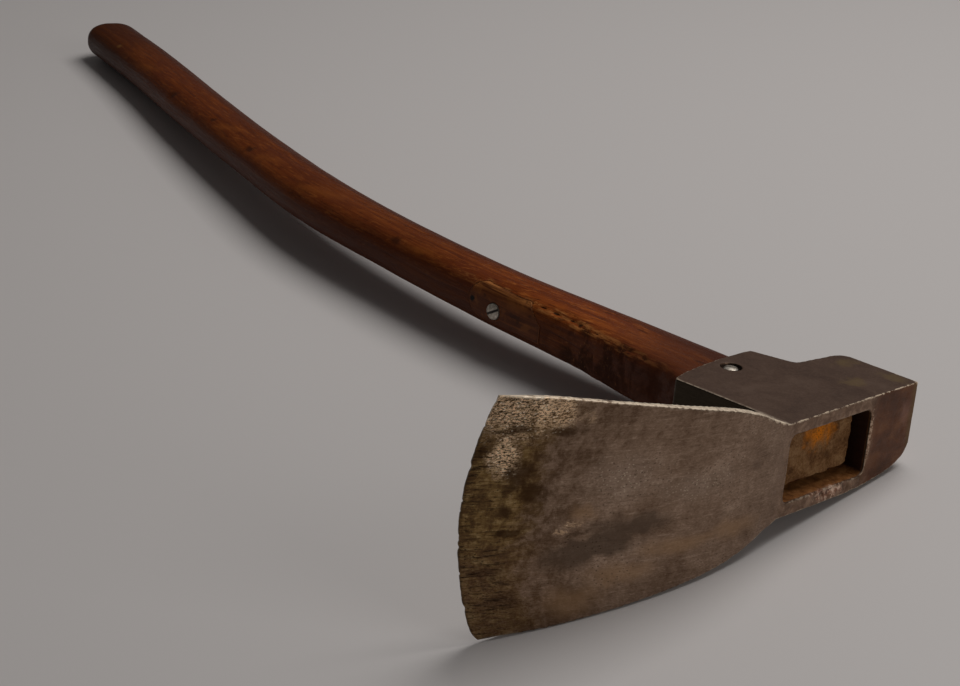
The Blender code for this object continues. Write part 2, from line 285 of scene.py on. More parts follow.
def loft(name, rings):
    count = len(rings[0])
    verts = [point for ring in rings for point in ring]
    return make_object(name, verts, loft_faces(len(rings), count))


def lathe(name, profile, axis, sides):
    """Solid of revolution; profile is (height, radius) about the given axis."""
    rings = []
    for height, radius in profile:
        ring = []
        for i in range(sides):
            angle = 2.0 * math.pi * i / sides
            ring.append(axis @ Vector((radius * math.cos(angle), radius * math.sin(angle), height)))
        rings.append(ring)
    return loft(name, rings)


def apply_modifiers(obj):
    """Keep what the modifiers make as the object's own mesh."""
    graph = bpy.context.evaluated_depsgraph_get()
    graph.update()
    made = bpy.data.meshes.new_from_object(obj.evaluated_get(graph))
    obj.modifiers.clear()
    obj.data = made


def carve(target, cutter, operation="DIFFERENCE"):
    """Exact boolean, applied at once; the tool shape is removed."""
    modifier = target.modifiers.new("carve", "BOOLEAN")
    modifier.operation = operation
    modifier.solver = "EXACT"
    modifier.object = cutter
    apply_modifiers(target)
    bpy.data.objects.remove(cutter, do_unlink=True)


def per_vertex(mesh, key):
    flat = np.zeros(len(mesh.vertices) * 3, np.float32)
    mesh.vertices.foreach_get(key, flat)
    return flat.reshape(-1, 3).astype(float)


def coordinates(mesh):
    return per_vertex(mesh, "co")


def normals(mesh):
    return per_vertex(mesh, "normal")


def set_coordinates(mesh, points):
    mesh.vertices.foreach_set("co", points.astype(np.float32).ravel())
    mesh.update()


def smoothed(mesh, points, rounds, share=0.5):
    """Points pulled toward the mean of their neighbours, a number of times."""
    edges = np.zeros(len(mesh.edges) * 2, np.int32)
    mesh.edges.foreach_get("vertices", edges)
    first, second = edges.reshape(-1, 2).T
    number = len(points)
    links = np.bincount(first, minlength=number) + np.bincount(second, minlength=number)
    links = np.maximum(links, 1)[:, None]
    for _ in range(rounds):
        total = np.empty_like(points)
        for axis in range(3):
            total[:, axis] = np.bincount(first, points[second, axis], number)
            total[:, axis] += np.bincount(second, points[first, axis], number)
        points = points + share * (total / links - points)
    return points


def store(mesh, name, values):
    """Keep one number per point for the materials to read."""
    layer = mesh.attributes.get(name) or mesh.attributes.new(name, "FLOAT", "POINT")
    layer.data.foreach_set("value", np.asarray(values, np.float32))


def mark_curvature(mesh, rounds=24):
    """Stores how far each point stands out of, or lies inside, its surroundings, in mm."""
    points = coordinates(mesh)
    offset = ((points - smoothed(mesh, points, rounds)) * normals(mesh)).sum(axis=1)
    store(mesh, "ridge", np.clip(offset, 0.0, 2.0))
    store(mesh, "hollow", np.clip(-offset, 0.0, 2.0))


def dress(obj, material, sharp=None):
    """Smooth shading, one material, and sharp edges only past the given angle in degrees."""
    obj.data.shade_smooth()
    if sharp is not None:
        obj.data.set_sharp_from_angle(angle=math.radians(sharp))
    obj.data.materials.clear()
    obj.data.materials.append(material)
    return obj


# ---------------------------------------------------------------- head

def blade_bend(s):
    bend = BLADE_START_BEND + BLADE_BEND_ROOT * s
    return bend + 0.5 * (BLADE_BEND_EDGE - BLADE_BEND_ROOT) * s * s / BLADE_LENGTH


def blade_curve(s):
    """Point and direction angle of the blade's front face, s mm from the root."""
    x = HEAD_LEFT
    y = 0.0
    step = s / BLADE_STEPS
    for i in range(BLADE_STEPS):
        bend = blade_bend((i + 0.5) * step)
        x -= math.cos(bend) * step
        y += math.sin(bend) * step
    return x, y, blade_bend(s)


def bowed_length(v):
    """Length of the blade at a share v of its half width; the edge is bowed."""
    return BLADE_LENGTH - (BLADE_LENGTH - BLADE_CORNER) * v * v


def blade_strip(name, rings, columns):
    """Solid from rings that go up the front face and come down the back face."""
    count = len(rings[0])
    faces = loft_faces(len(rings), count, closed_ends=False)
    for first in (0, (len(rings) - 1) * count):
        for j in range(columns):
            front = first + j
            back = first + count - 1 - j
            faces.append((front, front + 1, back - 1, back))
    return make_object(name, [point for ring in rings for point in ring], faces)


def blade_solid(name, shares, columns):
    """Closed strip of the blade between the first and the last share of its length."""
    rings = []
    for share in shares:
        width = interpolate(BLADE_HALF_WIDTH, share)
        thickness = interpolate(BLADE_THICKNESS, share)
        front = []
        back = []
        for j in range(columns + 1):
            v = 2.0 * j / columns - 1.0
            length = bowed_length(v)
            x, y, bend = blade_curve(share * length)
            front.append((x, y, v * width))
            back.append((x + math.sin(bend) * thickness, y + math.cos(bend) * thickness, v * width))
        rings.append(front + list(reversed(back)))
    return blade_strip(name, rings, columns)


def rounded_rectangle(left, right, bottom, top, radius):
    points = []
    centres = (
        (right - radius, top - radius, 0), (left + radius, top - radius, 90),
        (left + radius, bottom + radius, 180), (right - radius, bottom + radius, 270),
    )
    for cx, cz, start in centres:
        for step in range(7):
            angle = math.radians(start + 15 * step)
            points.append((cx + radius * math.cos(angle), cz + radius * math.sin(angle)))
    return points


def lug_axis(side):
    axis = Matrix.Translation((*LUG_SCREW, 0.0))
    if side < 0:
        axis = axis @ Matrix.Rotation(math.pi, 4, "X")
    return axis


def head_forging():
    """The plain forging: block, blade, eye and lug holes, joined into one skin."""
    rings = [[(x, y, z) for x, y in HEAD_OUTLINE] for z in (-HEAD_HALF, HEAD_HALF)]
    head = loft("adze_head_skin", rings)
    weld = 1.0 - BIT_WIDTH / BLADE_LENGTH
    shares = [-0.012, -0.004, 0.006]
    rows = 60
    shares += [0.006 + (weld - 0.006) * (i + 1) / rows for i in range(rows)]
    carve(head, blade_solid("blade_tool", shares, 40), "UNION")
    wear = [[(x, -3.0, z) for x, z in POLL_WEAR_FRONT], [(x, 56.0, z) for x, z in POLL_WEAR_REAR]]
    carve(head, loft("wear_tool", wear))
    eye = []
    for y, right in (
        (-4.0, EYE_RIGHT), (EYE_OPEN_Y, EYE_RIGHT),
        (EYE_OPEN_Y + 2.0, EYE_OPEN_RIGHT), (90.0, EYE_OPEN_RIGHT),
    ):
        ring = rounded_rectangle(EYE_LEFT, right, -EYE_HALF, EYE_HALF, EYE_CORNER)
        eye.append([(x, y, z) for x, z in ring])
    carve(head, loft("eye_tool", eye))
    for side in (1.0, -1.0):
        carve(head, lathe("hole_tool", LUG_HOLE, lug_axis(side), 48))
    return head


def wear_head(mesh):
    """Round the edges unevenly, then add forging waves, dents and nicks."""
    points = coordinates(mesh)
    soft = smoothed(mesh, points, 2)
    softer = smoothed(mesh, points, 12)
    uneven = smoothstep(-0.3, 0.8, fractal(points, 9.0, 3, 11))
    near_eye = np.exp(-((points[:, 1] / 3.5) ** 2)) * smoothstep(40.0, 34.0, np.abs(points[:, 0]))
    near_eye *= smoothstep(22.0, 19.0, np.abs(points[:, 2]))
    lower_lip = np.exp(-((points[:, 2] + 18.5) / 3.5) ** 2) * near_eye
    share = np.clip(0.15 + 0.30 * uneven + 0.45 * near_eye + 0.4 * lower_lip, 0.0, 1.0)
    points = soft + (softer - soft) * share[:, None]
    set_coordinates(mesh, points)

    outward = normals(mesh)
    on_blade = smoothstep(HEAD_LEFT + 2.0, HEAD_LEFT - 12.0, points[:, 0])
    waves = 0.14 * value_noise(points, (26.0, 60.0, 16.0), 21)
    waves += 0.05 * fractal(points, (9.0, 20.0, 8.0), 3, 25)
    height = waves * (0.45 + 0.55 * on_blade)
    dents = smoothstep(0.55, 0.95, value_noise(points, 6.5, 31)) * 0.16
    pits = smoothstep(0.45, 0.9, value_noise(points, 1.7, 37)) * 0.06
    height -= dents * (0.3 + 0.7 * smoothstep(-0.2, 0.6, value_noise(points, 30.0, 39)))
    height -= pits
    chips = smoothstep(0.1, 0.9, fractal(points, (5.0, 3.0, 3.0), 3, 41))
    middle_lip = np.exp(-((points[:, 0] - 4.0) / 13.0) ** 2)
    height -= chips * lower_lip * (0.25 + 0.75 * middle_lip) * 0.9
    height -= chips * near_eye * 0.12
    height *= smoothstep(BIT_WIDTH - 1.0, BIT_WIDTH + BIT_LAP + 2.0, edge_distance(points))
    points = points + outward * height[:, None]
    set_coordinates(mesh, keep_in_block(points))


def keep_in_block(points):
    """Nothing stands proud of the block's flat faces."""
    block = points[:, 0] > HEAD_LEFT
    inside = np.clip(points[:, 2], -HEAD_HALF, HEAD_HALF)
    points[:, 2] = np.where(block, inside, points[:, 2])
    points[:, 0] = np.minimum(points[:, 0], POLL_FACE)
    return points


def mark_blade(mesh):
    """Stores the distance from the cutting edge, and clears the ridge and hollow marks at the weld; these
    drive the worn edges with their painted highlight, and the darker hollows.
    """
    points = coordinates(mesh)
    distance = edge_distance(points)
    store(mesh, "from_edge", distance)
    width = np.interp(distance, (0.0, 30.0), (BLADE_HALF_WIDTH[-1][1], 50.0))
    inner = smoothstep(0.5, 2.5, width - np.abs(points[:, 2]))
    at_weld = smoothstep(8.0, 5.0, np.abs(distance - BIT_WIDTH)) * inner
    for name in ("ridge", "hollow"):
        values = np.zeros(len(points), np.float32)
        mesh.attributes[name].data.foreach_get("value", values)
        store(mesh, name, values * (1.0 - at_weld))


def build_head(material):
    head = head_forging()
    remesh = head.modifiers.new("skin", "REMESH")
    remesh.mode = "VOXEL"
    remesh.voxel_size = REMESH_CELL
    remesh.adaptivity = 0.0
    apply_modifiers(head)
    wear_head(head.data)
    mark_curvature(head.data)
    mark_blade(head.data)
    return dress(head, material)


def build_bit(material):
    """Steel along the edge: ground to a thin, slightly nicked cutting edge."""
    rows = 52
    columns = 230
    weld = 1.0 - (BIT_WIDTH + BIT_LAP) / BLADE_LENGTH
    rings = []
    for i in range(rows + 1):
        share = weld + (1.0 - weld) * i / rows
        width = interpolate(BLADE_HALF_WIDTH, share)
        thickness = interpolate(BLADE_THICKNESS, share)
        lap = (share - weld) * BLADE_LENGTH / BIT_LAP
        sunk = 0.35 - 0.37 * float(smoothstep(0.0, 0.9, lap))
        near_edge = float(smoothstep(0.90, 1.0, share))
        front = []
        back = []
        for j in range(columns + 1):
            v = 2.0 * j / columns - 1.0
            z = v * (width - 2.0 * max(sunk, 0.0))
            length = bowed_length(v)
            toe = max(-v - TOE_START, 0.0) / (1.0 - TOE_START)
            length -= (TOE_WEAR * toe * toe + edge_nick(z)) * near_edge
            x, y, bend = blade_curve(share * length)
            rounding = min(1.0, (1.0 - abs(v)) * width / 0.7)
            inset = sunk + 0.28 * thickness * (1.0 - math.sqrt(max(rounding * (2.0 - rounding), 0.0)))
            front.append((x + math.sin(bend) * inset, y + math.cos(bend) * inset, z))
            depth = thickness - inset
            back.append((x + math.sin(bend) * depth, y + math.cos(bend) * depth, z))
        rings.append(front + list(reversed(back)))
    bit = blade_strip("steel_bit_skin", rings, columns)
    mesh = bit.data
    points = coordinates(mesh)
    outward = normals(mesh)
    height = 0.05 * fractal(points, (6.0, 12.0, 4.0), 3, 51) - 0.03
    height -= smoothstep(0.5, 0.95, value_noise(points, (2.2, 2.2, 1.1), 57)) * 0.06
    fade = smoothstep(BIT_WIDTH + 1.0, BIT_WIDTH - 4.0, edge_distance(points))
    points = points + outward * (height * fade)[:, None]
    set_coordinates(mesh, points)
    mark_curvature(mesh, 10)
    mark_blade(mesh)
    return dress(bit, material, 50)


def edge_nick(z):
    """How far the cutting edge is worn back at height z, in mm."""
    probe = np.array([[0.0, 0.0, z]])
    ripple = 0.16 * float(value_noise(probe, 7.0, 61)[0])
    ripple += 0.14 * float(value_noise(probe, 1.9, 63)[0])
    chip = float(smoothstep(0.55, 0.95, value_noise(probe, 2.2, 67))[0]) * 0.45
    big = sum(depth * math.exp(-((z - middle) / wide) ** 2) for middle, wide, depth in EDGE_CHIPS)
    return max(0.0, 0.25 + ripple) + chip + big


def edge_distance(points):
    """Distance from the cutting edge, measured along the blade, in mm."""
    x_edge, _, bend = blade_curve(BLADE_LENGTH)
    curve = (BLADE_LENGTH - BLADE_CORNER) * (points[:, 2] / interpolate(BLADE_HALF_WIDTH, 1.0)) ** 2
    return (points[:, 0] - x_edge) / math.cos(bend) - curve


# ---------------------------------------------------------------- handle

def station(y):
    """Centre x, half width, centre z, half thickness and squareness of the handle at y."""
    row = []
    for column in range(1, len(HANDLE_STATIONS[0])):
        row.append(interpolate([(s[0], s[column]) for s in HANDLE_STATIONS], y))
    return row


def handle_left(y):
    x, half, _, _, _ = station(y)
    return x - half


def handle_ring(y, advance=0.0, share=1.0):
    """One rounded section of the handle, square near the head and oval at the grip."""
    x, half, z, thick, square = station(y)
    slope = (station(y + 1.0)[0] - station(y - 1.0)[0]) / 2.0
    if y > HANDLE_STATIONS[-1][0] - 2.0:
        slope = (station(y)[0] - station(y - 6.0)[0]) / 6.0
    turn = min(max((y - 110.0) / 110.0, 0.0), 1.0)
    angle = math.atan(slope) * turn * turn * (3.0 - 2.0 * turn)
    along = (math.sin(angle), math.cos(angle))
    across = (math.cos(angle), -math.sin(angle))
    ring = []
    for i in range(HANDLE_SIDES):
        a = ring_angle(i, square)
        c = math.cos(a)
        s = math.sin(a)
        u = half * share * math.copysign(abs(c) ** (2.0 / square), c)
        w = thick * share * math.copysign(abs(s) ** (2.0 / square), s)
        px = x + along[0] * advance + across[0] * u
        py = y + along[1] * advance + across[1] * u
        ring.append((px, py, z + w))
    return ring


def ring_angle(i, square):
    """Angles that space the points of a squarish section evenly along its outline."""
    a = 2.0 * math.pi * (i + 0.5) / HANDLE_SIDES
    c = math.cos(a)
    s = math.sin(a)
    power = 1.0 + 0.42 * min(square - 2.0, 6.0)
    c = math.copysign(abs(c) ** power, c)
    s = math.copysign(abs(s) ** power, s)
    return math.atan2(s, c)


def handle_rings():
    first = HANDLE_STATIONS[0][0]
    last = HANDLE_STATIONS[-1][0]
    rows = int((last - first) / HANDLE_STEP)
    rings = []
    for share in (0.02, 0.2, 0.4, 0.6, 0.75, 0.88, 0.96):
        rings.append(handle_ring(first, 0.0, share))
    rings += [handle_ring(first + (last - first) * i / rows) for i in range(rows + 1)]
    for step in range(1, 15):
        angle = math.radians(90.0 * step / 15.0)
        share = math.cos(angle) ** 0.42
        rings.append(handle_ring(last, GRIP_LENGTH * math.sin(angle), share))
    rings.append(handle_ring(last, GRIP_LENGTH, 0.02))
    return rings


def wear_handle(points, outward):
    """Chips along the arris, bruises on the blade side, rough end grain and knots."""
    y = points[:, 1]
    left = smoothstep(0.1, 0.9, -outward[:, 0])
    corner = np.clip(1.0 - np.abs(-outward[:, 0] - outward[:, 2]), 0.0, 1.0)
    corner = corner * (outward[:, 2] > 0.1) * (outward[:, 0] < -0.1)
    near = smoothstep(72.0, 95.0, y) * smoothstep(270.0, 225.0, y)

    height = 0.16 * value_noise(points, (20.0, 70.0, 20.0), 71)
    height += 0.10 * value_noise(points, (7.0, 26.0, 7.0), 73)
    height += 0.05 * fractal(points, (2.6, 30.0, 2.6), 2, 75)

    height -= corner * near * 0.35
    nibbled = smoothstep(0.1, 0.9, fractal(points, (4.0, 13.0, 4.0), 3, 81))
    height -= corner * near * nibbled * 1.0
    split = smoothstep(0.45, 0.9, fractal(points, (1.9, 6.0, 1.9), 2, 83))
    height -= corner * near * split * 0.7
    height -= spots(points, ARRIS_CHIPS) * 0.85

    side = left * smoothstep(60.0, 80.0, y) * smoothstep(200.0, 150.0, y)
    grooves = smoothstep(0.0, 0.9, fractal(points, (20.0, 10.0, 12.0), 3, 91))
    height -= side * grooves * 0.45
    height -= side * smoothstep(0.45, 0.9, value_noise(points, (6.0, 5.0, 7.0), 93)) * 0.40

    end_face = smoothstep(0.5, 0.9, -outward[:, 1]) * (y < 20.0)
    rough = fractal(points, (3.0, 3.0, 2.2), 4, 95)
    height += end_face * (0.40 * rough - 0.35)
    ragged_right = smoothstep(0.4, 0.9, outward[:, 0]) * smoothstep(45.0, 10.0, y)
    height += ragged_right * (1.1 * value_noise(points, (9.0, 9.0, 6.0), 97) - 0.9)
    mouth = smoothstep(16.0, 6.5, y) * (1.0 - end_face)
    height -= mouth * (0.30 + 0.30 * value_noise(points, (6.0, 9.0, 6.0), 99))

    height -= spots(points, KNOTS) * 0.40
    return np.minimum(height - 0.28, 0.0)


def slip_tool(name, inset):
    """Block whose far end is a half round, used for the seat and for the slip."""
    near = SLIP_NEAR_Y + inset
    near_top = SLIP_NEAR_TOP_Y + inset
    far = SLIP_FAR_Y - inset
    top = SLIP_TOP - inset
    bottom = SLIP_BOTTOM + inset
    middle = 0.5 * (top + bottom)
    radius = 0.5 * (top - bottom)
    outline = [(near, bottom), (near, middle), (near_top, top)]
    for step in range(19):
        angle = math.radians(90.0 - 10.0 * step)
        outline.append((far - radius + radius * math.cos(angle), middle + radius * math.sin(angle)))
    (y0, x0), (y1, x1) = SLIP_SEAT
    outer = []
    inner = []
    for y, z in outline:
        seat = x0 + (x1 - x0) * (y - y0) / (y1 - y0)
        outer.append((-30.0, y, z))
        inner.append((seat - inset, y, z))
    return loft(name, [outer, inner])


def handle_body(name):
    rings = handle_rings()
    body = make_object(name, [p for ring in rings for p in ring], loft_faces(len(rings), HANDLE_SIDES))
    points = coordinates(body.data)
    centres = np.array([[y, station(y)[0]] for y in np.arange(0.0, 812.0, 4.0)])
    store(body.data, "across", points[:, 0] - np.interp(points[:, 1], centres[:, 0], centres[:, 1]))
    return body


def build_handle(material):
    handle = handle_body("handle_skin")
    points = coordinates(handle.data)
    outward = normals(handle.data)
    height = wear_handle(points, outward)
    set_coordinates(handle.data, points + outward * height[:, None])
    mark_curvature(handle.data, 12)
    carve(handle, slip_tool("seat_tool", 0.0))
    return dress(handle, material, 40)


def build_slip(material):
    slip = handle_body("repair_slip_skin")
    points = coordinates(slip.data)
    outward = normals(slip.data)
    height = 0.06 * value_noise(points, (8.0, 20.0, 8.0), 111) - 0.12
    height -= spots(points, ((19.0, 243.0, 9.5, 2.6), (15.5, 204.0, 10.5, 3.0))) * 0.8
    set_coordinates(slip.data, points + outward * height[:, None])
    carve(slip, slip_tool("slip_tool", SLIP_GAP), "INTERSECT")
    sink = SCREW_HEAD + 0.35
    profile = ((-30.0, 2.4), (SIDE_SCREW_SEAT - 0.3, 2.4), (SIDE_SCREW_SEAT - 0.29, sink), (6.0, sink))
    carve(slip, lathe("spot_tool", profile, side_axis(), 48))
    mark_curvature(slip.data, 4)
    return dress(slip, material, 35)


# ---------------------------------------------------------------- screws

def side_axis():
    """Axis of the side screw, heights measured outward from the slip's face."""
    axis = Matrix.Translation((handle_left(SIDE_SCREW_Y), SIDE_SCREW_Y, SIDE_SCREW_Z))
    return axis @ Matrix.Rotation(-math.pi / 2.0, 4, "Y")


def build_screw(name, axis, seat, length, dome, spin, material):
    """Slotted wood screw with a worn, slightly burred head."""
    tip = seat - length
    profile = [(tip, 0.3), (tip + 5.0, SCREW_SHANK), (seat, SCREW_SHANK)]
    profile += [(seat + rise, radius) for rise, radius in dome]
    screw = lathe(name, profile, axis, 64)
    top = seat + dome[-1][0]
    turn = Matrix.Rotation(math.radians(spin), 4, "Z")
    slot = []
    half = 0.5 * SLOT_WIDTH
    for height, wide in ((top - SLOT_DEPTH, half - 0.08), (top - 0.15, half), (top + 1.5, half + 0.5)):
        corners = (
            (-SLOT_REACH, -wide), (SLOT_REACH, -wide), (SLOT_REACH, wide), (-SLOT_REACH, wide),
        )
        slot.append([tuple(axis @ turn @ Vector((x, y, height))) for x, y in corners])
    carve(screw, loft("slot_tool", slot))
    bevel = screw.modifiers.new("burr", "BEVEL")
    bevel.width = BURR
    bevel.segments = 2
    bevel.limit_method = "ANGLE"
    bevel.angle_limit = math.radians(35.0)
    apply_modifiers(screw)
    heights = np.array([(axis.inverted() @ vertex.co).z for vertex in screw.data.vertices])
    store(screw.data, "slot", np.abs(heights - (top - SLOT_DEPTH)) < 0.12)
    return dress(screw, material, 30)


def dome_profile(radius, rise, rim):
    """Heights and radii of a domed screw head above its seat."""
    profile = [(0.001, radius - 0.15), (0.25, radius), (rim, radius)]
    for step in range(1, 9):
        angle = math.radians(10.0 * step)
        profile.append((rim + (rise - rim) * math.sin(angle), radius * math.cos(angle) ** 0.8))
    return profile


# ---------------------------------------------------------------- material nodes

class Graph:
    """Short way to write the nodes of one material; its places and lengths are millimetres."""

    def __init__(self, name):
        self.material = bpy.data.materials.new(name)
        self.material.use_nodes = True
        self.tree = self.material.node_tree
        self.shader = self.tree.nodes["Principled BSDF"]
        self.colour = None
        coordinate = self.node("ShaderNodeTexCoord").outputs["Object"]
        self.place = self.to_tool(coordinate, TOOL.to_translation(), MM)

    def node(self, kind, **settings):
        made = self.tree.nodes.new(kind)
        for key, value in settings.items():
            setattr(made, key, value)
        return made

    def feed(self, socket, value):
        """Link a socket, or set a plain number or colour on it."""
        if isinstance(value, bpy.types.NodeSocket):
            self.tree.links.new(value, socket)
        elif isinstance(value, tuple) and len(value) == 3 and socket.type == "RGBA":
            socket.default_value = (*value, 1.0)
        else:
            socket.default_value = value

    def to_tool(self, socket, origin, unit):
        """A place or direction of the part's frame, seen along the tool's own axes."""
        made = self.node("ShaderNodeMapping", vector_type="TEXTURE")
        self.feed(made.inputs["Vector"], socket)
        made.inputs["Location"].default_value = origin
        made.inputs["Rotation"].default_value = TOOL.to_euler()
        made.inputs["Scale"].default_value = (unit, unit, unit)
        return made.outputs["Vector"]

    def math(self, operation, a, b=0.0, clamp=False):
        made = self.node("ShaderNodeMath", operation=operation, use_clamp=clamp)
        self.feed(made.inputs[0], a)
        self.feed(made.inputs[1], b)
        return made.outputs[0]

    def times(self, *values):
        result = values[0]
        for value in values[1:]:
            result = self.math("MULTIPLY", result, value)
        return result

    def add(self, base, value, share):
        """The base with a share of the value added."""
        return self.math("ADD", base, self.times(value, share))

    def disturb(self, value, noise, reach):
        """The value pushed up and down by noise, half the reach each way at most."""
        return self.add(value, self.math("SUBTRACT", noise, 0.5), reach)

    def invert(self, value):
        return self.math("SUBTRACT", 1.0, value)

    def total(self, *values):
        """Sum that stays between 0 and 1."""
        result = values[0]
        for value in values[1:]:
            result = self.math("ADD", result, value, clamp=True)
        return result

    def weighted(self, *pairs):
        return self.total(*[self.times(value, weight) for value, weight in pairs])

    def vector(self, operation, a, b):
        made = self.node("ShaderNodeVectorMath", operation=operation)
        self.feed(made.inputs[0], a)
        self.feed(made.inputs[1], b)
        return made.outputs["Value" if operation == "LENGTH" else "Vector"]

    def combine(self, *parts):
        made = self.node("ShaderNodeCombineXYZ")
        for socket, part in zip(made.inputs, parts):
            self.feed(socket, part)
        return made.outputs[0]

    def stretch(self, scale, place=None):
        """Coordinates with each axis multiplied, so that marks run along an axis."""
        return self.vector("MULTIPLY", place or self.place, scale)

    def noise(self, place, scale, detail=4.0, rough=0.55, warp=0.0):
        made = self.node("ShaderNodeTexNoise")
        self.feed(made.inputs["Vector"], place)
        made.inputs["Scale"].default_value = scale
        made.inputs["Detail"].default_value = detail
        made.inputs["Roughness"].default_value = rough
        made.inputs["Distortion"].default_value = warp
        return made.outputs["Fac"]

    def cells(self, place, scale):
        """Distance from the middle of the nearest cell."""
        made = self.node("ShaderNodeTexVoronoi")
        self.feed(made.inputs["Vector"], place)
        made.inputs["Scale"].default_value = scale
        return made.outputs["Distance"]

    def between(self, value, low, high, start=0.0, end=1.0):
        """Smooth step from start to end as the value goes from low to high."""
        made = self.node("ShaderNodeMapRange", interpolation_type="SMOOTHSTEP", clamp=True)
        self.feed(made.inputs[0], value)
        for index, number in enumerate((low, high, start, end)):
            made.inputs[index + 1].default_value = number
        return made.outputs[0]

    def ramp(self, value, *stops):
        made = self.node("ShaderNodeValToRGB")
        self.feed(made.inputs[0], value)
        elements = made.color_ramp.elements
        while len(elements) < len(stops):
            elements.new(0.5)
        for element, (position, colour) in zip(elements, stops):
            element.position = position
            element.color = (*colour, 1.0)
        return made.outputs[0]

    def mix(self, share, a, b):
        made = self.node("ShaderNodeMix", data_type="RGBA")
        self.feed(made.inputs[0], share)
        self.feed(made.inputs[6], a)
        self.feed(made.inputs[7], b)
        return made.outputs[2]

    def paint(self, mask, colour, strength=None):
        """Lay one more colour over the material's own, where the mask is."""
        share = mask if strength is None else self.times(mask, strength)
        self.colour = self.mix(share, self.colour, colour)

    def attribute(self, name):
        return self.node("ShaderNodeAttribute", attribute_name=name).outputs["Fac"]

    def axis(self, letter):
        split = self.node("ShaderNodeSeparateXYZ")
        self.feed(split.inputs[0], self.place)
        return split.outputs[letter]

    def normal_axis(self, letter):
        """Share of the true surface normal along one of the tool's axes."""
        turned = self.node("ShaderNodeVectorTransform", vector_type="NORMAL")
        turned.convert_from = "WORLD"
        turned.convert_to = "OBJECT"
        self.feed(turned.inputs[0], self.node("ShaderNodeNewGeometry").outputs["Normal"])
        split = self.node("ShaderNodeSeparateXYZ")
        self.feed(split.inputs[0], self.to_tool(turned.outputs[0], (0.0, 0.0, 0.0), 1.0))
        return split.outputs[letter]

    def patch(self, centre, radii, ragged=0.35, grain=0.12, soft=0.6):
        """Soft-edged mark about a place, its outline broken up by noise."""
        offset = self.vector("SUBTRACT", self.place, centre)
        scaled = self.vector("DIVIDE", offset, radii)
        distance = self.vector("LENGTH", scaled, (0.0, 0.0, 0.0))
        distance = self.disturb(distance, self.noise(self.place, grain, 5.0, 0.6), ragged * 2.0)
        return self.between(distance, 1.0, 1.0 - soft)

    def patches(self, *rows):
        """Several such marks in one; each row is a centre, radii, ragged, grain and soft."""
        return self.total(*[self.patch(*row) for row in rows])

    def bump(self, height, distance, strength=1.0, below=None):
        made = self.node("ShaderNodeBump")
        made.inputs["Strength"].default_value = strength
        made.inputs["Distance"].default_value = distance * MM
        self.feed(made.inputs["Height"], height)
        if below is not None:
            self.feed(made.inputs["Normal"], below)
        return made.outputs[0]

    def finish(self, roughness, normal, metallic=0.0, specular=0.5):
        self.feed(self.shader.inputs["Base Color"], self.colour)
        self.feed(self.shader.inputs["Roughness"], roughness)
        self.feed(self.shader.inputs["Normal"], normal)
        self.feed(self.shader.inputs["Metallic"], metallic)
        self.shader.inputs["Specular IOR Level"].default_value = specular
        return self.material


DARKEST_BROWN = (0.012, 0.006, 0.004)
# colour of the painted highlight on the blade's narrow upper side
TOP_EDGE_HIGHLIGHT = (0.95, 0.80, 0.62)


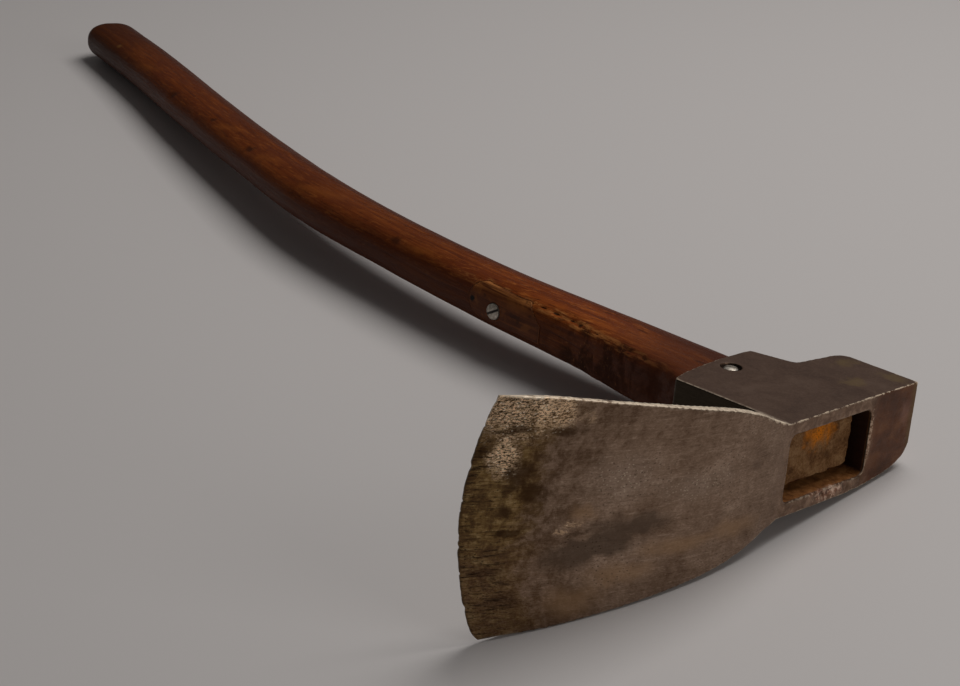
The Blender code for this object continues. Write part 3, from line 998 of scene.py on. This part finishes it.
def iron_colours(g):
    """Patina shared by the forging and the steel: streaks along the blade, blotches, stains, with painted
    glints and a painted shadow beside a chip.
    """
    e = g.attribute("from_edge")
    z = g.axis("Z")
    sheet = g.combine(e, g.times(g.axis("Y"), 0.4), z)
    broad = g.noise(g.stretch((0.8, 0.8, 1.3), sheet), 0.030, 4.0, 0.62, 0.5)
    streaks = g.noise(g.stretch((0.16, 0.3, 1.9), sheet), 0.50, 6.0, 0.72, 0.3)
    mottle = g.noise(sheet, 0.15, 8.0, 0.74, 0.15)
    fine = g.noise(g.stretch((0.55, 1.0, 1.4), sheet), 1.0, 5.0, 0.78)
    tone = g.weighted((broad, 0.32), (mottle, 0.30), (fine, 0.38))
    g.colour = g.ramp(
        tone, (0.37, (0.115, 0.065, 0.040)), (0.46, (0.215, 0.138, 0.091)), (0.54, (0.300, 0.203, 0.142)),
        (0.63, (0.450, 0.325, 0.240)),
    )
    g.paint(g.between(streaks, 0.54, 0.72, 0.0, 0.42), (0.54, 0.41, 0.31))
    g.paint(g.between(streaks, 0.46, 0.30, 0.0, 0.45), (0.092, 0.052, 0.030))

    band_streaks = g.noise(g.stretch((0.16, 0.3, 1.0), sheet), 0.60, 7.0, 0.76, 0.2)
    olive = g.ramp(
        g.weighted((band_streaks, 0.55), (mottle, 0.45)), (0.38, (0.034, 0.015, 0.005)),
        (0.46, (0.150, 0.083, 0.028)), (0.54, (0.270, 0.168, 0.062)), (0.63, (0.460, 0.330, 0.155)),
    )
    ragged = g.disturb(e, broad, 60.0)
    ragged = g.disturb(ragged, mottle, 40.0)
    band = g.between(ragged, 36.0, 18.0)
    g.paint(band, olive, 0.94)
    brown = g.times(g.between(ragged, 80.0, 26.0), g.between(mottle, 0.58, 0.42))
    g.paint(brown, (0.085, 0.045, 0.022), 0.55)

    blue_grey = g.patches(
        ((-128.0, 15.0, 14.0), (26.0, 60.0, 16.0), 0.5, 0.09, 0.9),
        ((-90.0, 5.0, 6.0), (30.0, 60.0, 12.0), 0.6, 0.09, 0.9),
    )
    g.paint(blue_grey, (0.315, 0.232, 0.178), 0.38)
    grey_dark = g.patches(
        ((-149.0, 21.0, -20.0), (17.0, 60.0, 9.0), 0.7, 0.10, 0.7),
        ((-124.0, 11.0, -9.0), (25.0, 60.0, 8.5), 0.7, 0.10, 0.7),
        ((-135.0, 15.0, -16.0), (22.0, 60.0, 7.0), 0.7, 0.10, 0.7),
    )
    g.paint(grey_dark, (0.108, 0.072, 0.050), 0.84)
    tan = g.patches(
        ((-126.0, 13.0, -30.0), (22.0, 60.0, 7.0), 0.6, 0.09, 0.9),
        ((-147.0, 22.0, -41.0), (20.0, 60.0, 11.0), 0.6, 0.09, 0.9),
        ((-98.0, 5.0, -21.0), (26.0, 60.0, 6.0), 0.6, 0.08, 0.9),
        ((-146.0, 20.0, 0.0), (9.0, 60.0, 6.0), 0.7, 0.12, 0.9),
        ((-66.0, 1.0, -19.0), (20.0, 60.0, 7.0), 0.6, 0.09, 0.9),
    )
    g.paint(tan, (0.370, 0.225, 0.120), 0.55)

    golden = g.patches(
        ((-177.0, 31.0, 49.0), (36.0, 60.0, 17.0), 0.6, 0.10, 0.8),
        ((-181.0, 36.0, 28.0), (9.0, 60.0, 14.0), 0.7, 0.12, 0.8),
    )
    grains = g.noise(g.stretch((0.45, 1.0, 1.0), sheet), 1.45, 5.0, 0.80, 0.1)
    grained = g.weighted((grains, 0.75), (mottle, 0.25))
    shimmer = g.between(grained, 0.470, 0.535)
    g.paint(golden, (0.430, 0.270, 0.145), 0.65)
    g.paint(golden, (1.00, 0.72, 0.46), shimmer)
    dark_grain = g.between(grains, 0.485, 0.425)
    g.paint(golden, (0.050, 0.024, 0.010), dark_grain)
    stains = g.patches(
        ((-176.0, 34.0, 39.5), (7.5, 40.0, 2.2), 1.0, 0.25, 0.6),
        ((-158.0, 27.0, 38.0), (14.0, 60.0, 3.2), 1.0, 0.16, 0.7),
        ((-175.0, 33.0, 19.0), (8.0, 40.0, 10.0), 1.1, 0.18, 0.7),
        ((-168.0, 31.0, 10.0), (8.0, 40.0, 7.0), 1.1, 0.18, 0.8),
        ((-178.6, 35.4, 3.0), (3.5, 40.0, 4.0), 0.8, 0.28, 0.6),
        ((-177.0, 35.0, -7.0), (7.0, 40.0, 2.4), 1.1, 0.28, 0.6),
        ((-184.0, 38.0, -24.0), (9.0, 40.0, 3.4), 1.1, 0.22, 0.7),
        ((-176.0, 34.0, -38.0), (10.0, 40.0, 5.0), 1.1, 0.20, 0.8),
        ((-190.0, 41.0, 31.0), (3.0, 40.0, 4.0), 0.9, 0.25, 0.6),
    )
    g.paint(stains, (0.060, 0.028, 0.011), 0.80)
    smudge = g.patch((-55.0, 0.0, 8.6), (5.0, 60.0, 4.0), 0.7, 0.2, 0.9)
    g.paint(smudge, (0.130, 0.082, 0.055), 0.45)
    lower = g.times(g.between(z, -2.0, -30.0), g.between(e, 60.0, 10.0))
    lower_tone = g.ramp(
        fine, (0.40, (0.085, 0.040, 0.020)), (0.50, (0.185, 0.105, 0.058)), (0.62, (0.310, 0.190, 0.115)),
    )
    g.paint(lower, lower_tone, 0.50)
    chip = g.patches(
        ((-151.0, 23.0, -5.0), (6.0, 20.0, 2.6), 1.5, 0.55, 0.9),
        ((-155.0, 23.0, -8.0), (5.0, 20.0, 1.6), 1.5, 0.55, 0.9),
    )
    chip = g.times(chip, g.between(fine, 0.40, 0.60))
    g.paint(chip, (0.66, 0.45, 0.28), 0.80)
    shadowed = g.patch((-148.0, 23.0, -9.0), (8.0, 20.0, 1.8), 1.4, 0.45, 0.9)
    g.paint(shadowed, (0.070, 0.040, 0.023), 0.60)

    cut_marks = g.noise(g.stretch((0.11, 0.3, 1.3), sheet), 0.85, 5.0, 0.78, 0.3)
    cut_zone = g.times(g.between(e, 34.0, 14.0), g.between(broad, 0.40, 0.55, 0.2, 1.0))
    cut_zone = g.total(cut_zone, g.between(e, 7.0, 2.0))
    lines = g.times(g.between(cut_marks, 0.475, 0.40), cut_zone)
    g.paint(lines, (0.030, 0.015, 0.006), 0.88)
    specks = g.cells(g.stretch((0.7, 0.6, 1.0), sheet), 0.62)
    speck_zone = g.total(
        g.times(band, g.between(mottle, 0.42, 0.60)), g.between(broad, 0.50, 0.62, 0.0, 0.8),
    )
    speck = g.times(g.between(specks, 0.26, 0.14), speck_zone)
    g.paint(speck, (0.050, 0.027, 0.014), 0.75)
    glint_cells = g.cells(g.stretch((0.6, 0.6, 1.0), sheet), 0.8)
    glint_zone = g.total(golden, g.times(blue_grey, 0.30), g.times(chip, 0.5))
    glint = g.times(g.between(glint_cells, 0.30, 0.16), glint_zone)
    g.paint(glint, (1.00, 0.86, 0.66), 0.90)
    return {
        "streaks": streaks, "mottle": mottle, "fine": fine, "speck": speck, "stains": stains,
        "lines": lines, "shimmer": g.times(golden, shimmer),
    }


def top_edge_highlight(g):
    """One on the narrow upper side of the blade, where a bright highlight is painted on."""
    on_blade = g.between(g.axis("X"), HEAD_LEFT + 2.0, HEAD_LEFT - 3.0)
    top_highlight = g.times(g.between(g.normal_axis("Z"), 0.45, 0.85), on_blade)
    nick = g.between(g.noise(g.stretch((1.0, 0.25, 0.25)), 0.24, 3.0, 0.65), 0.60, 0.65, 0.0, 0.75)
    return g.times(top_highlight, g.invert(nick))


def forged_iron():
    g = Graph("forged_iron_worn")
    marks = iron_colours(g)
    mottle = marks["mottle"]
    x = g.axis("X")
    y = g.axis("Y")
    blade = g.between(x, -30.0, -52.0)

    facing_front = g.between(g.normal_axis("Y"), -0.45, -0.80)
    block = g.times(facing_front, g.between(x, -46.0, -24.0))
    block_noise = g.noise(g.place, 0.16, 7.0, 0.72, 0.4)
    block_colour = g.ramp(
        block_noise, (0.36, (0.115, 0.060, 0.034)), (0.50, (0.215, 0.130, 0.084)),
        (0.62, (0.350, 0.230, 0.155)),
    )
    g.paint(block, block_colour, 0.80)
    poll = g.times(facing_front, g.between(x, 27.0, 38.0))
    poll_noise = g.noise(g.stretch((0.7, 1.0, 1.1)), 0.075, 6.0, 0.62, 0.3)
    poll_colour = g.ramp(
        poll_noise, (0.34, (0.064, 0.018, 0.005)), (0.50, (0.118, 0.036, 0.010)),
        (0.64, (0.192, 0.070, 0.022)),
    )
    g.paint(poll, poll_colour, 0.92)
    pink = g.patch((60.0, 0.0, 9.0), (6.5, 6.0, 9.0), 0.7, 0.16, 0.9)
    pink = g.times(pink, facing_front)
    g.paint(pink, (0.300, 0.160, 0.120), 0.45)
    olive = g.between(g.add(x, poll_noise, 8.0), 66.5, 70.5)
    olive = g.times(olive, facing_front)
    g.paint(olive, (0.150, 0.098, 0.034), 0.55)

    facing_up = g.between(g.normal_axis("Z"), 0.55, 0.85)
    top_plate = g.times(facing_up, g.between(x, -38.0, -32.0))
    plate_noise = g.noise(g.place, 0.045, 8.0, 0.70, 0.5)
    plate_colour = g.ramp(
        plate_noise, (0.36, (0.059, 0.032, 0.022)), (0.52, (0.078, 0.044, 0.030)),
        (0.66, (0.102, 0.062, 0.044)),
    )
    plate_grain = g.noise(g.place, 0.9, 4.0, 0.7)
    plate_light = g.between(plate_grain, 0.40, 0.70, 0.0, 0.30)
    plate_colour = g.mix(plate_light, plate_colour, (0.155, 0.098, 0.070))
    g.paint(top_plate, plate_colour, 0.96)
    rusty = g.patches(
        ((39.0, 17.0, 23.0), (10.0, 7.0, 8.0), 0.9, 0.18, 0.8),
        ((58.0, 36.0, 23.0), (12.0, 6.0, 8.0), 0.9, 0.18, 0.8),
        ((61.0, 10.0, 23.0), (6.0, 12.0, 8.0), 0.9, 0.18, 0.8),
    )
    rusty = g.times(rusty, top_plate)
    g.paint(rusty, (0.165, 0.110, 0.042), 0.45)
    # painted shade: the block's blade-side wall is painted near black, as it lies in shadow
    socket_wall_shade = g.times(g.between(g.normal_axis("X"), -0.6, -0.9), g.between(x, -50.0, -36.0))
    g.paint(socket_wall_shade, (0.032, 0.026, 0.017), 0.92)

    inner = eye_inside(g)
    rust_noise = g.noise(g.place, 0.22, 7.0, 0.74, 0.3)
    rust_and_wall_shade = g.ramp(
        rust_noise, (0.36, (0.165, 0.062, 0.018)), (0.50, (0.330, 0.132, 0.038)),
        (0.64, (0.500, 0.225, 0.080)),
    )
    # painted shade: the side walls and roof inside the eye are painted nearly black; the floor keeps its
    # rust
    eye_wall_shade = g.times(inner, g.between(g.normal_axis("Z"), 0.75, 0.35))
    rust_and_wall_shade = g.mix(g.times(eye_wall_shade, 0.94), rust_and_wall_shade, (0.020, 0.006, 0.004))
    g.paint(inner, rust_and_wall_shade)
    # painted shade in the countersunk lug holes, around the screw heads
    hole_shade = g.patches(
        ((*LUG_SCREW, 20.6), (5.9, 5.9, 6.0), 0.10, 0.3, 0.12),
        ((*LUG_SCREW, -20.6), (5.9, 5.9, 6.0), 0.10, 0.3, 0.12),
    )
    g.paint(hole_shade, (0.014, 0.008, 0.006), 0.92)

    broken = g.noise(g.place, 0.42, 6.0, 0.76)
    # worn ridges of the head with a painted highlight, broken up by noise and kept off the eye rims and
    # the lug hole
    wear = g.times(g.attribute("ridge"), g.between(broken, 0.34, 0.64, 0.25, 1.7))
    ridge_wear_and_highlight = g.times(g.between(wear, 0.30, 0.56), g.between(y, 30.0, 6.0, 0.30, 1.0))
    height = g.axis("Z")
    eye_rim = g.between(g.math("ABSOLUTE", height), 20.5, 19.0)
    eye_rim = g.times(eye_rim, g.between(x, -40.0, -34.0))
    top_rim = g.times(eye_rim, g.between(height, 8.0, 14.0))
    hole_rim = g.patch((*LUG_SCREW, 20.6), (8.5, 8.5, 8.0), 0.05, 0.3, 0.15)
    quiet = g.weighted((eye_rim, 0.45), (top_rim, 0.40))
    quiet = g.total(quiet, inner, hole_shade, hole_rim, socket_wall_shade)
    ridge_wear_and_highlight = g.times(ridge_wear_and_highlight, g.invert(g.times(quiet, 0.95)))
    ridge_wear_and_highlight = g.times(ridge_wear_and_highlight, g.between(x, -60.0, -38.0, 0.35, 1.0))
    g.paint(ridge_wear_and_highlight, (0.80, 0.64, 0.47), 0.85)
    # painted highlight along the blade's narrow upper side, made dull so that it shows as colour
    top_highlight = g.times(top_edge_highlight(g), g.between(broken, 0.38, 0.56, 0.35, 1.0))
    g.paint(top_highlight, TOP_EDGE_HIGHLIGHT, 0.90)
    lip = g.patch((5.0, 0.0, -19.0), (18.0, 4.0, 4.2), 1.0, 0.28, 0.8)
    chipped = g.ramp(
        broken, (0.38, (0.130, 0.048, 0.024)), (0.48, (0.400, 0.185, 0.112)), (0.58, (0.90, 0.66, 0.50)),
    )
    g.paint(lip, chipped, 0.88)
    eye_side = g.patch((EYE_RIGHT + 1.0, 0.0, 3.0), (1.8, 4.0, 16.0), 0.9, 0.30, 0.6)
    eye_side = g.times(eye_side, facing_front, g.between(broken, 0.44, 0.54))
    g.paint(eye_side, (0.66, 0.47, 0.33), 0.80)
    # darker in the hollows of the head
    hollow_darkening = g.between(g.attribute("hollow"), 0.08, 0.34)
    g.paint(hollow_darkening, (0.042, 0.024, 0.014), 0.55)

    rough = g.between(marks["streaks"], 0.3, 0.7, 0.50, 0.38)
    rough = g.add(rough, g.total(inner, top_plate, top_highlight), 0.16)
    rough = g.add(rough, marks["stains"], 0.10)
    rough = g.math("SUBTRACT", rough, g.times(ridge_wear_and_highlight, 0.06))
    normal = g.bump(marks["fine"], 0.12, 0.5)
    normal = g.bump(marks["streaks"], 0.10, 0.5, normal)
    normal = g.bump(mottle, 0.30, 0.35, normal)
    normal = g.bump(g.invert(g.times(marks["speck"], blade)), 0.20, 0.5, normal)
    dull = g.total(inner, g.times(top_plate, 0.85), g.times(top_highlight, 0.75))
    dull = g.total(dull, g.times(ridge_wear_and_highlight, 0.5), g.times(poll, 0.75), hole_shade, lip)
    metallic = g.math("SUBTRACT", 0.94, g.times(dull, 0.88), clamp=True)
    return g.finish(rough, normal, metallic, specular=0.20)


def eye_inside(g):
    """One inside the eye, nothing on the outer faces of the head."""
    x = g.axis("X")
    z = g.axis("Z")
    y = g.axis("Y")
    wide = g.times(g.between(x, EYE_LEFT - 1.2, EYE_LEFT - 0.4), g.between(x, 49.0, 48.2))
    tall = g.between(g.math("ABSOLUTE", z), EYE_HALF + 1.2, EYE_HALF + 0.4)
    deep = g.between(y, 0.6, 1.8)
    return g.times(wide, tall, deep)


def bit_steel():
    g = Graph("bit_steel_worn")
    marks = iron_colours(g)
    # worn ridges of the steel with a painted highlight, stronger toward the upper corner
    ridge = g.add(g.attribute("ridge"), marks["streaks"], 0.12)
    ridge = g.times(g.between(ridge, 0.13, 0.30), g.between(g.axis("Z"), 44.0, 53.0, 0.20, 1.0))
    g.paint(ridge, (0.80, 0.66, 0.50), 0.55)
    # painted highlight along the blade's narrow upper side
    top_highlight = top_edge_highlight(g)
    g.paint(top_highlight, TOP_EDGE_HIGHLIGHT, 0.90)
    low_rim = g.between(g.attribute("from_edge"), 1.6, 0.2)
    low_rim = g.times(low_rim, g.between(g.axis("Z"), 46.0, 36.0))
    g.paint(low_rim, (0.040, 0.022, 0.010), 0.60)
    rough = g.between(marks["streaks"], 0.3, 0.7, 0.50, 0.38)
    rough = g.add(rough, marks["stains"], 0.10)
    normal = g.bump(marks["fine"], 0.12, 0.5)
    normal = g.bump(marks["streaks"], 0.12, 0.5, normal)
    normal = g.bump(g.invert(g.total(marks["lines"], marks["speck"])), 0.25, 0.6, normal)
    normal = g.bump(marks["shimmer"], 0.25, 0.6, normal)
    metallic = g.math("SUBTRACT", 0.94, g.times(top_highlight, 0.5))
    return g.finish(rough, normal, metallic)


def wood_grain(g, light, middle, dark):
    """Streaky oiled wood; the grain follows the handle's curve."""
    bent = g.combine(g.attribute("across"), g.axis("Y"), g.axis("Z"))
    fine = g.noise(g.stretch((1.0, 0.030, 1.0), bent), 1.05, 6.0, 0.66, 0.2)
    growth = g.noise(g.stretch((1.0, 0.016, 1.0), bent), 0.30, 5.0, 0.60, 0.6)
    cloud = g.noise(g.stretch((1.0, 0.30, 1.0), bent), 0.045, 4.0, 0.6, 0.3)
    tone = g.weighted((fine, 0.40), (growth, 0.34), (cloud, 0.26))
    g.colour = g.ramp(tone, (0.37, dark), (0.49, middle), (0.60, light))
    return fine, growth, cloud, bent


def handle_wood():
    g = Graph("handle_wood_worn")
    fine, growth, cloud, bent = wood_grain(
        g, (0.360, 0.090, 0.014), (0.205, 0.042, 0.006), (0.090, 0.016, 0.004),
    )
    y = g.axis("Y")
    up = g.normal_axis("Z")
    left = g.times(g.normal_axis("X"), -1.0)

    streak = g.noise(g.stretch((1.0, 0.055, 1.0), bent), 0.42, 6.0, 0.74, 0.8)
    g.paint(g.between(streak, 0.45, 0.33, 0.0, 0.80), (0.034, 0.009, 0.004))
    g.paint(g.between(streak, 0.56, 0.70, 0.0, 0.60), (0.54, 0.170, 0.034))
    red_patches = g.noise(g.stretch((1.0, 0.35, 1.0), bent), 0.075, 4.0, 0.6, 0.8)
    g.paint(g.between(red_patches, 0.50, 0.64, 0.0, 0.65), (0.165, 0.034, 0.011))
    across = g.attribute("across")
    skewed = g.combine(g.add(across, y, 0.16), y, g.axis("Z"))
    flecks = g.noise(g.stretch((1.0, 0.13, 1.0), skewed), 0.60, 5.0, 0.72, 0.5)
    g.paint(g.between(flecks, 0.58, 0.68, 0.0, 0.75), (0.044, 0.012, 0.004))
    g.paint(g.between(flecks, 0.44, 0.34, 0.0, 0.60), (0.540, 0.170, 0.032))

    # painted shade on the handle's underside and its blade-side face
    underside = g.between(up, 0.35, -0.35)
    side = g.between(left, 0.45, 0.92)
    underside_and_side_shade = g.weighted((underside, 0.75), (side, 0.35))
    g.paint(underside_and_side_shade, (0.052, 0.015, 0.005), 0.72)

    head_end = g.between(y, 205.0, 150.0)
    bruises = g.noise(g.stretch((0.5, 0.85, 0.62), bent), 0.115, 5.0, 0.60, 0.5)
    bruised_side = g.times(g.between(left, 0.35, 0.75), head_end)
    bruise = g.times(bruised_side, g.between(bruises, 0.42, 0.62))
    g.paint(bruise, (0.022, 0.007, 0.003), 0.85)
    lighter = g.times(bruised_side, g.between(bruises, 0.50, 0.36))
    g.paint(lighter, (0.160, 0.040, 0.010), 0.35)
    nicks = g.noise(g.stretch((0.6, 1.0, 0.6), bent), 0.55, 5.0, 0.75, 0.5)
    nicked = g.times(bruised_side, g.between(nicks, 0.58, 0.66))
    g.paint(nicked, (0.330, 0.130, 0.045), 0.55)

    corner = g.times(g.between(up, 0.36, 0.55), g.between(up, 0.90, 0.78))
    corner = g.times(corner, g.between(left, 0.20, 0.40))
    reach = g.times(g.between(y, 270.0, 238.0), g.between(y, 78.0, 96.0))
    broken = g.between(g.noise(g.stretch((1.0, 0.16, 1.0), bent), 0.60, 6.0, 0.76, 0.3), 0.46, 0.58)
    bare = g.times(corner, reach, broken)
    g.paint(bare, (0.62, 0.250, 0.070), 0.60)
    pale_arris = g.times(corner, broken, g.between(y, 250.0, 300.0))
    g.paint(pale_arris, (0.34, 0.110, 0.028), 0.30)
    # darker in the hollows of the handle
    hollow = g.between(g.attribute("hollow"), 0.10, 0.36)
    g.paint(hollow, DARKEST_BROWN, 0.88)

    knots = g.patches(
        ((124.6, 623.0, 9.0), (3.6, 8.0, 5.0), 0.6, 0.3, 0.8),
        ((102.2, 556.0, 11.0), (2.6, 4.5, 5.0), 0.6, 0.3, 0.8),
        ((78.7, 494.3, 10.6), (4.6, 6.5, 6.0), 0.6, 0.3, 0.8),
        ((30.1, 316.4, 10.0), (3.6, 6.0, 5.0), 0.6, 0.3, 0.8),
    )
    g.paint(knots, (0.022, 0.008, 0.004), 0.88)
    halo = g.patches(
        ((96.0, 540.0, 11.0), (5.0, 26.0, 5.0), 0.6, 0.15, 0.9),
        ((72.0, 474.0, 11.0), (6.0, 22.0, 5.0), 0.6, 0.15, 0.9),
        ((27.0, 296.0, 11.0), (5.0, 24.0, 5.0), 0.6, 0.15, 0.9),
        ((52.0, 400.0, 11.0), (6.0, 40.0, 5.0), 0.6, 0.10, 0.9),
        ((150.0, 690.0, 11.0), (7.0, 40.0, 5.0), 0.6, 0.10, 0.9),
    )
    g.paint(halo, (0.46, 0.135, 0.020), 0.50)
    spot = g.patch((171.9, 740.4, 10.4), (2.6, 4.2, 3.0), 0.3, 0.4, 0.8)
    g.paint(spot, (0.62, 0.30, 0.075), 0.80)
    crack = g.patch((12.6, 88.0, 15.0), (1.3, 5.0, 3.0), 0.6, 0.5, 0.5)
    g.paint(crack, (0.006, 0.004, 0.003))
    distant = g.between(y, 160.0, 320.0)
    g.paint(distant, (0.066, 0.014, 0.003), 0.56)
    grip_dark = g.between(y, 640.0, 790.0)
    g.paint(grip_dark, (0.032, 0.008, 0.002), 0.66)
    near_lug = g.between(y, 175.0, 90.0)
    g.paint(near_lug, (0.080, 0.021, 0.008), 0.80)
    far_side = g.times(g.between(left, -0.04, -0.40), g.between(up, -0.2, 0.2))
    far_band = g.disturb(across, growth, 14.0)
    far_side = g.total(far_side, g.between(far_band, 3.5, 9.0))
    g.paint(far_side, (0.056, 0.016, 0.009), 0.62)

    pits = g.between(g.cells(g.stretch((1.0, 0.6, 1.0), bent), 0.30), 0.12, 0.04)
    pits = g.times(pits, g.between(cloud, 0.45, 0.60))
    g.paint(pits, DARKEST_BROWN, 0.8)

    end = g.times(g.between(g.normal_axis("Y"), -0.25, -0.6), g.between(y, 22.0, 12.0))
    fibres = g.noise(g.place, 0.9, 6.0, 0.78)
    patches = g.noise(g.place, 0.10, 5.0, 0.68, 0.4)
    end_colour = g.ramp(
        g.weighted((fibres, 0.45), (patches, 0.55)), (0.37, (0.080, 0.034, 0.012)),
        (0.48, (0.225, 0.105, 0.040)), (0.59, (0.400, 0.225, 0.100)),
    )
    orange = g.patch((0.5, 6.0, 9.0), (14.0, 20.0, 9.5), 0.9, 0.18, 0.9)
    end_colour = g.mix(g.times(orange, 0.95), end_colour, (0.90, 0.270, 0.009))
    orange_grain = g.times(orange, g.between(fibres, 0.50, 0.40))
    end_colour = g.mix(g.times(orange_grain, 0.7), end_colour, (0.200, 0.080, 0.016))
    g.paint(end, end_colour)

    rough = g.between(fine, 0.3, 0.7, 0.36, 0.50)
    rough = g.add(rough, g.total(bare, end, bruise), 0.30)
    normal = g.bump(fine, 0.30, 0.5)
    normal = g.bump(growth, 0.5, 0.30, normal)
    normal = g.bump(streak, 0.45, 0.5, normal)
    normal = g.bump(g.times(g.invert(fibres), end), 0.8, 0.9, normal)
    return g.finish(rough, normal, specular=0.10)


def slip_wood():
    g = Graph("slip_wood_worn")
    fine, _, _, bent = wood_grain(
        g, (0.215, 0.066, 0.019), (0.120, 0.033, 0.010), (0.052, 0.014, 0.005),
    )
    smears = g.noise(g.stretch((1.0, 0.5, 0.5), bent), 0.14, 4.0, 0.65, 0.8)
    g.paint(g.between(smears, 0.52, 0.64, 0.0, 0.6), (0.270, 0.092, 0.022))
    g.paint(g.between(smears, 0.47, 0.38, 0.0, 0.6), (0.040, 0.014, 0.006))
    up = g.normal_axis("Z")
    bare = g.times(g.between(up, 0.30, 0.60), g.between(fine, 0.40, 0.56))
    g.paint(bare, (0.54, 0.215, 0.060), 0.45)
    # painted highlight: a pale arc on the upper edge of the slip's rounded far end
    arc_highlight = g.patch((19.6, 243.8, 9.6), (6.0, 2.4, 2.2), 0.4, 0.4, 0.6)
    g.paint(arc_highlight, (0.60, 0.340, 0.170), 0.75)
    # darker in the hollows of the slip
    hollow = g.between(g.attribute("hollow"), 0.06, 0.20)
    g.paint(hollow, DARKEST_BROWN, 0.9)
    # painted shade: a near-black round spot near the slip's far end stands for the dark inside of a hole
    hole_shade = g.patch((16.0, 243.0, 0.5), (6.0, 2.3, 2.3), 0.5, 0.5, 0.6)
    g.paint(hole_shade, (0.004, 0.003, 0.002))
    ring = g.patch((12.0, SIDE_SCREW_Y, SIDE_SCREW_Z), (8.0, 5.4, 5.4), 0.3, 0.3, 0.3)
    g.paint(ring, (0.022, 0.009, 0.005), 0.8)
    rough = g.between(fine, 0.3, 0.7, 0.36, 0.50)
    return g.finish(rough, g.bump(fine, 0.25, 0.4), specular=0.10)


def screw_steel():
    g = Graph("screw_steel_worn")
    mottle = g.noise(g.place, 0.7, 6.0, 0.7)
    g.colour = g.ramp(
        mottle, (0.34, (0.27, 0.22, 0.17)), (0.50, (0.50, 0.45, 0.38)), (0.62, (0.68, 0.63, 0.55)),
    )
    scratches = g.noise(g.stretch((1.0, 3.0, 1.0)), 2.6, 3.0, 0.7)
    g.paint(g.between(scratches, 0.56, 0.66, 0.0, 0.5), (0.16, 0.13, 0.10))
    # darker at the bottom of the slot
    hollow_darkening = g.between(g.attribute("slot"), 0.10, 0.55)
    g.paint(hollow_darkening, (0.010, 0.007, 0.005), 0.95)
    rough = g.between(mottle, 0.3, 0.7, 0.50, 0.36)
    return g.finish(rough, g.bump(mottle, 0.12, 0.4), metallic=0.55)


def floor_material():
    g = Graph("floor_paper")
    tone = g.noise(g.place, 0.0006, 2.0, 0.5)
    g.colour = g.ramp(tone, (0.3, (0.70, 0.672, 0.662)), (0.7, (0.73, 0.702, 0.692)))
    return g.finish(0.40, g.bump(g.noise(g.place, 0.16, 2.0), 0.1, 0.15), specular=0.4)


# ---------------------------------------------------------------- floor, lights and camera

FLOOR_HALF = 14.0
CAMERA_PLACE = Vector((-0.8154, -0.9676, 0.5378))
CAMERA_AHEAD = Vector((0.6472, 0.6364, -0.4197)).normalized()
CAMERA_UP = Vector((0.3127, 0.2805, 0.9075))
CAMERA_LENS = 90.0
CAMERA_SENSOR = 36.0


def add_camera():
    data = bpy.data.cameras.new("camera")
    data.lens = CAMERA_LENS
    data.sensor_width = CAMERA_SENSOR
    data.clip_start = 0.05
    data.clip_end = 60.0
    camera = bpy.data.objects.new("camera", data)
    bpy.context.scene.collection.objects.link(camera)
    right = CAMERA_AHEAD.cross(CAMERA_UP).normalized()
    up = right.cross(CAMERA_AHEAD)
    turn = Matrix((right, up, -CAMERA_AHEAD)).transposed()
    camera.matrix_world = Matrix.Translation(CAMERA_PLACE) @ turn.to_4x4()
    bpy.context.scene.camera = camera


def add_softbox(name, place, aim, size, power, colour):
    data = bpy.data.lights.new(name, "AREA")
    data.shape = "RECTANGLE"
    data.size, data.size_y = size
    data.energy = power
    data.color = colour
    light = bpy.data.objects.new(name, data)
    bpy.context.scene.collection.objects.link(light)
    light.location = place
    light.rotation_mode = "QUATERNION"
    light.rotation_quaternion = (Vector(aim) - Vector(place)).to_track_quat("-Z", "Y")


def add_surroundings():
    corners = [(FLOOR_HALF * x, FLOOR_HALF * y, 0.0) for x, y in ((-1, -1), (1, -1), (1, 1), (-1, 1))]
    floor = make_object("floor", corners, [(0, 1, 2, 3)])
    floor.data.materials.append(floor_material())
    world = bpy.data.worlds.new("studio")
    world.use_nodes = True
    background = world.node_tree.nodes["Background"]
    background.inputs["Color"].default_value = (0.62, 0.59, 0.58, 1.0)
    background.inputs["Strength"].default_value = 0.09
    bpy.context.scene.world = world
    add_softbox(
        "key", place=(0.75, -0.35, 1.55), aim=(0.0, 0.0, 0.0), size=(1.1, 1.1), power=16.0,
        colour=(1.0, 0.975, 0.95),
    )
    add_softbox(
        "front", place=(0.2, -2.1, 0.9), aim=(0.0, -0.2, 0.05), size=(1.2, 0.9), power=4.0,
        colour=(1.0, 0.98, 0.96),
    )


# ---------------------------------------------------------------- the object

def show(piece, node):
    """Lay the piece down into the part's frame, hang it under the body's empty and hide the CAD node it
    stands for.
    """
    piece.data.transform(TOOL @ Matrix.Scale(MM, 4))
    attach(piece, BODY)
    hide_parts(node)


def build_pieces():
    iron = forged_iron()
    steel = bit_steel()
    wood = handle_wood()
    screws = screw_steel()
    show(build_head(iron), "adze_head")
    show(build_bit(steel), "steel_bit")
    show(build_handle(wood), "handle")
    show(build_slip(slip_wood()), "repair_slip")
    lug_dome = dome_profile(LUG_SCREW_HEAD, 4.9, 3.2)
    for side, name, spin in ((1.0, "top_lug_screw", 128.0), (-1.0, "bottom_lug_screw", 20.0)):
        screw = build_screw(
            name + "_skin", lug_axis(side), LUG_SCREW_SEAT, LUG_SCREW_LENGTH, lug_dome, spin, screws,
        )
        show(screw, name)
    side_screw = build_screw(
        "side_screw_skin", side_axis(), SIDE_SCREW_SEAT, SIDE_SCREW_LENGTH,
        dome_profile(SCREW_HEAD, 2.4, 1.2), 120.0, screws,
    )
    show(side_screw, "side_screw")


bpy.context.scene.view_settings.view_transform = "Standard"
build_pieces()
add_surroundings()
add_camera()
bpy.context.view_layer.update()
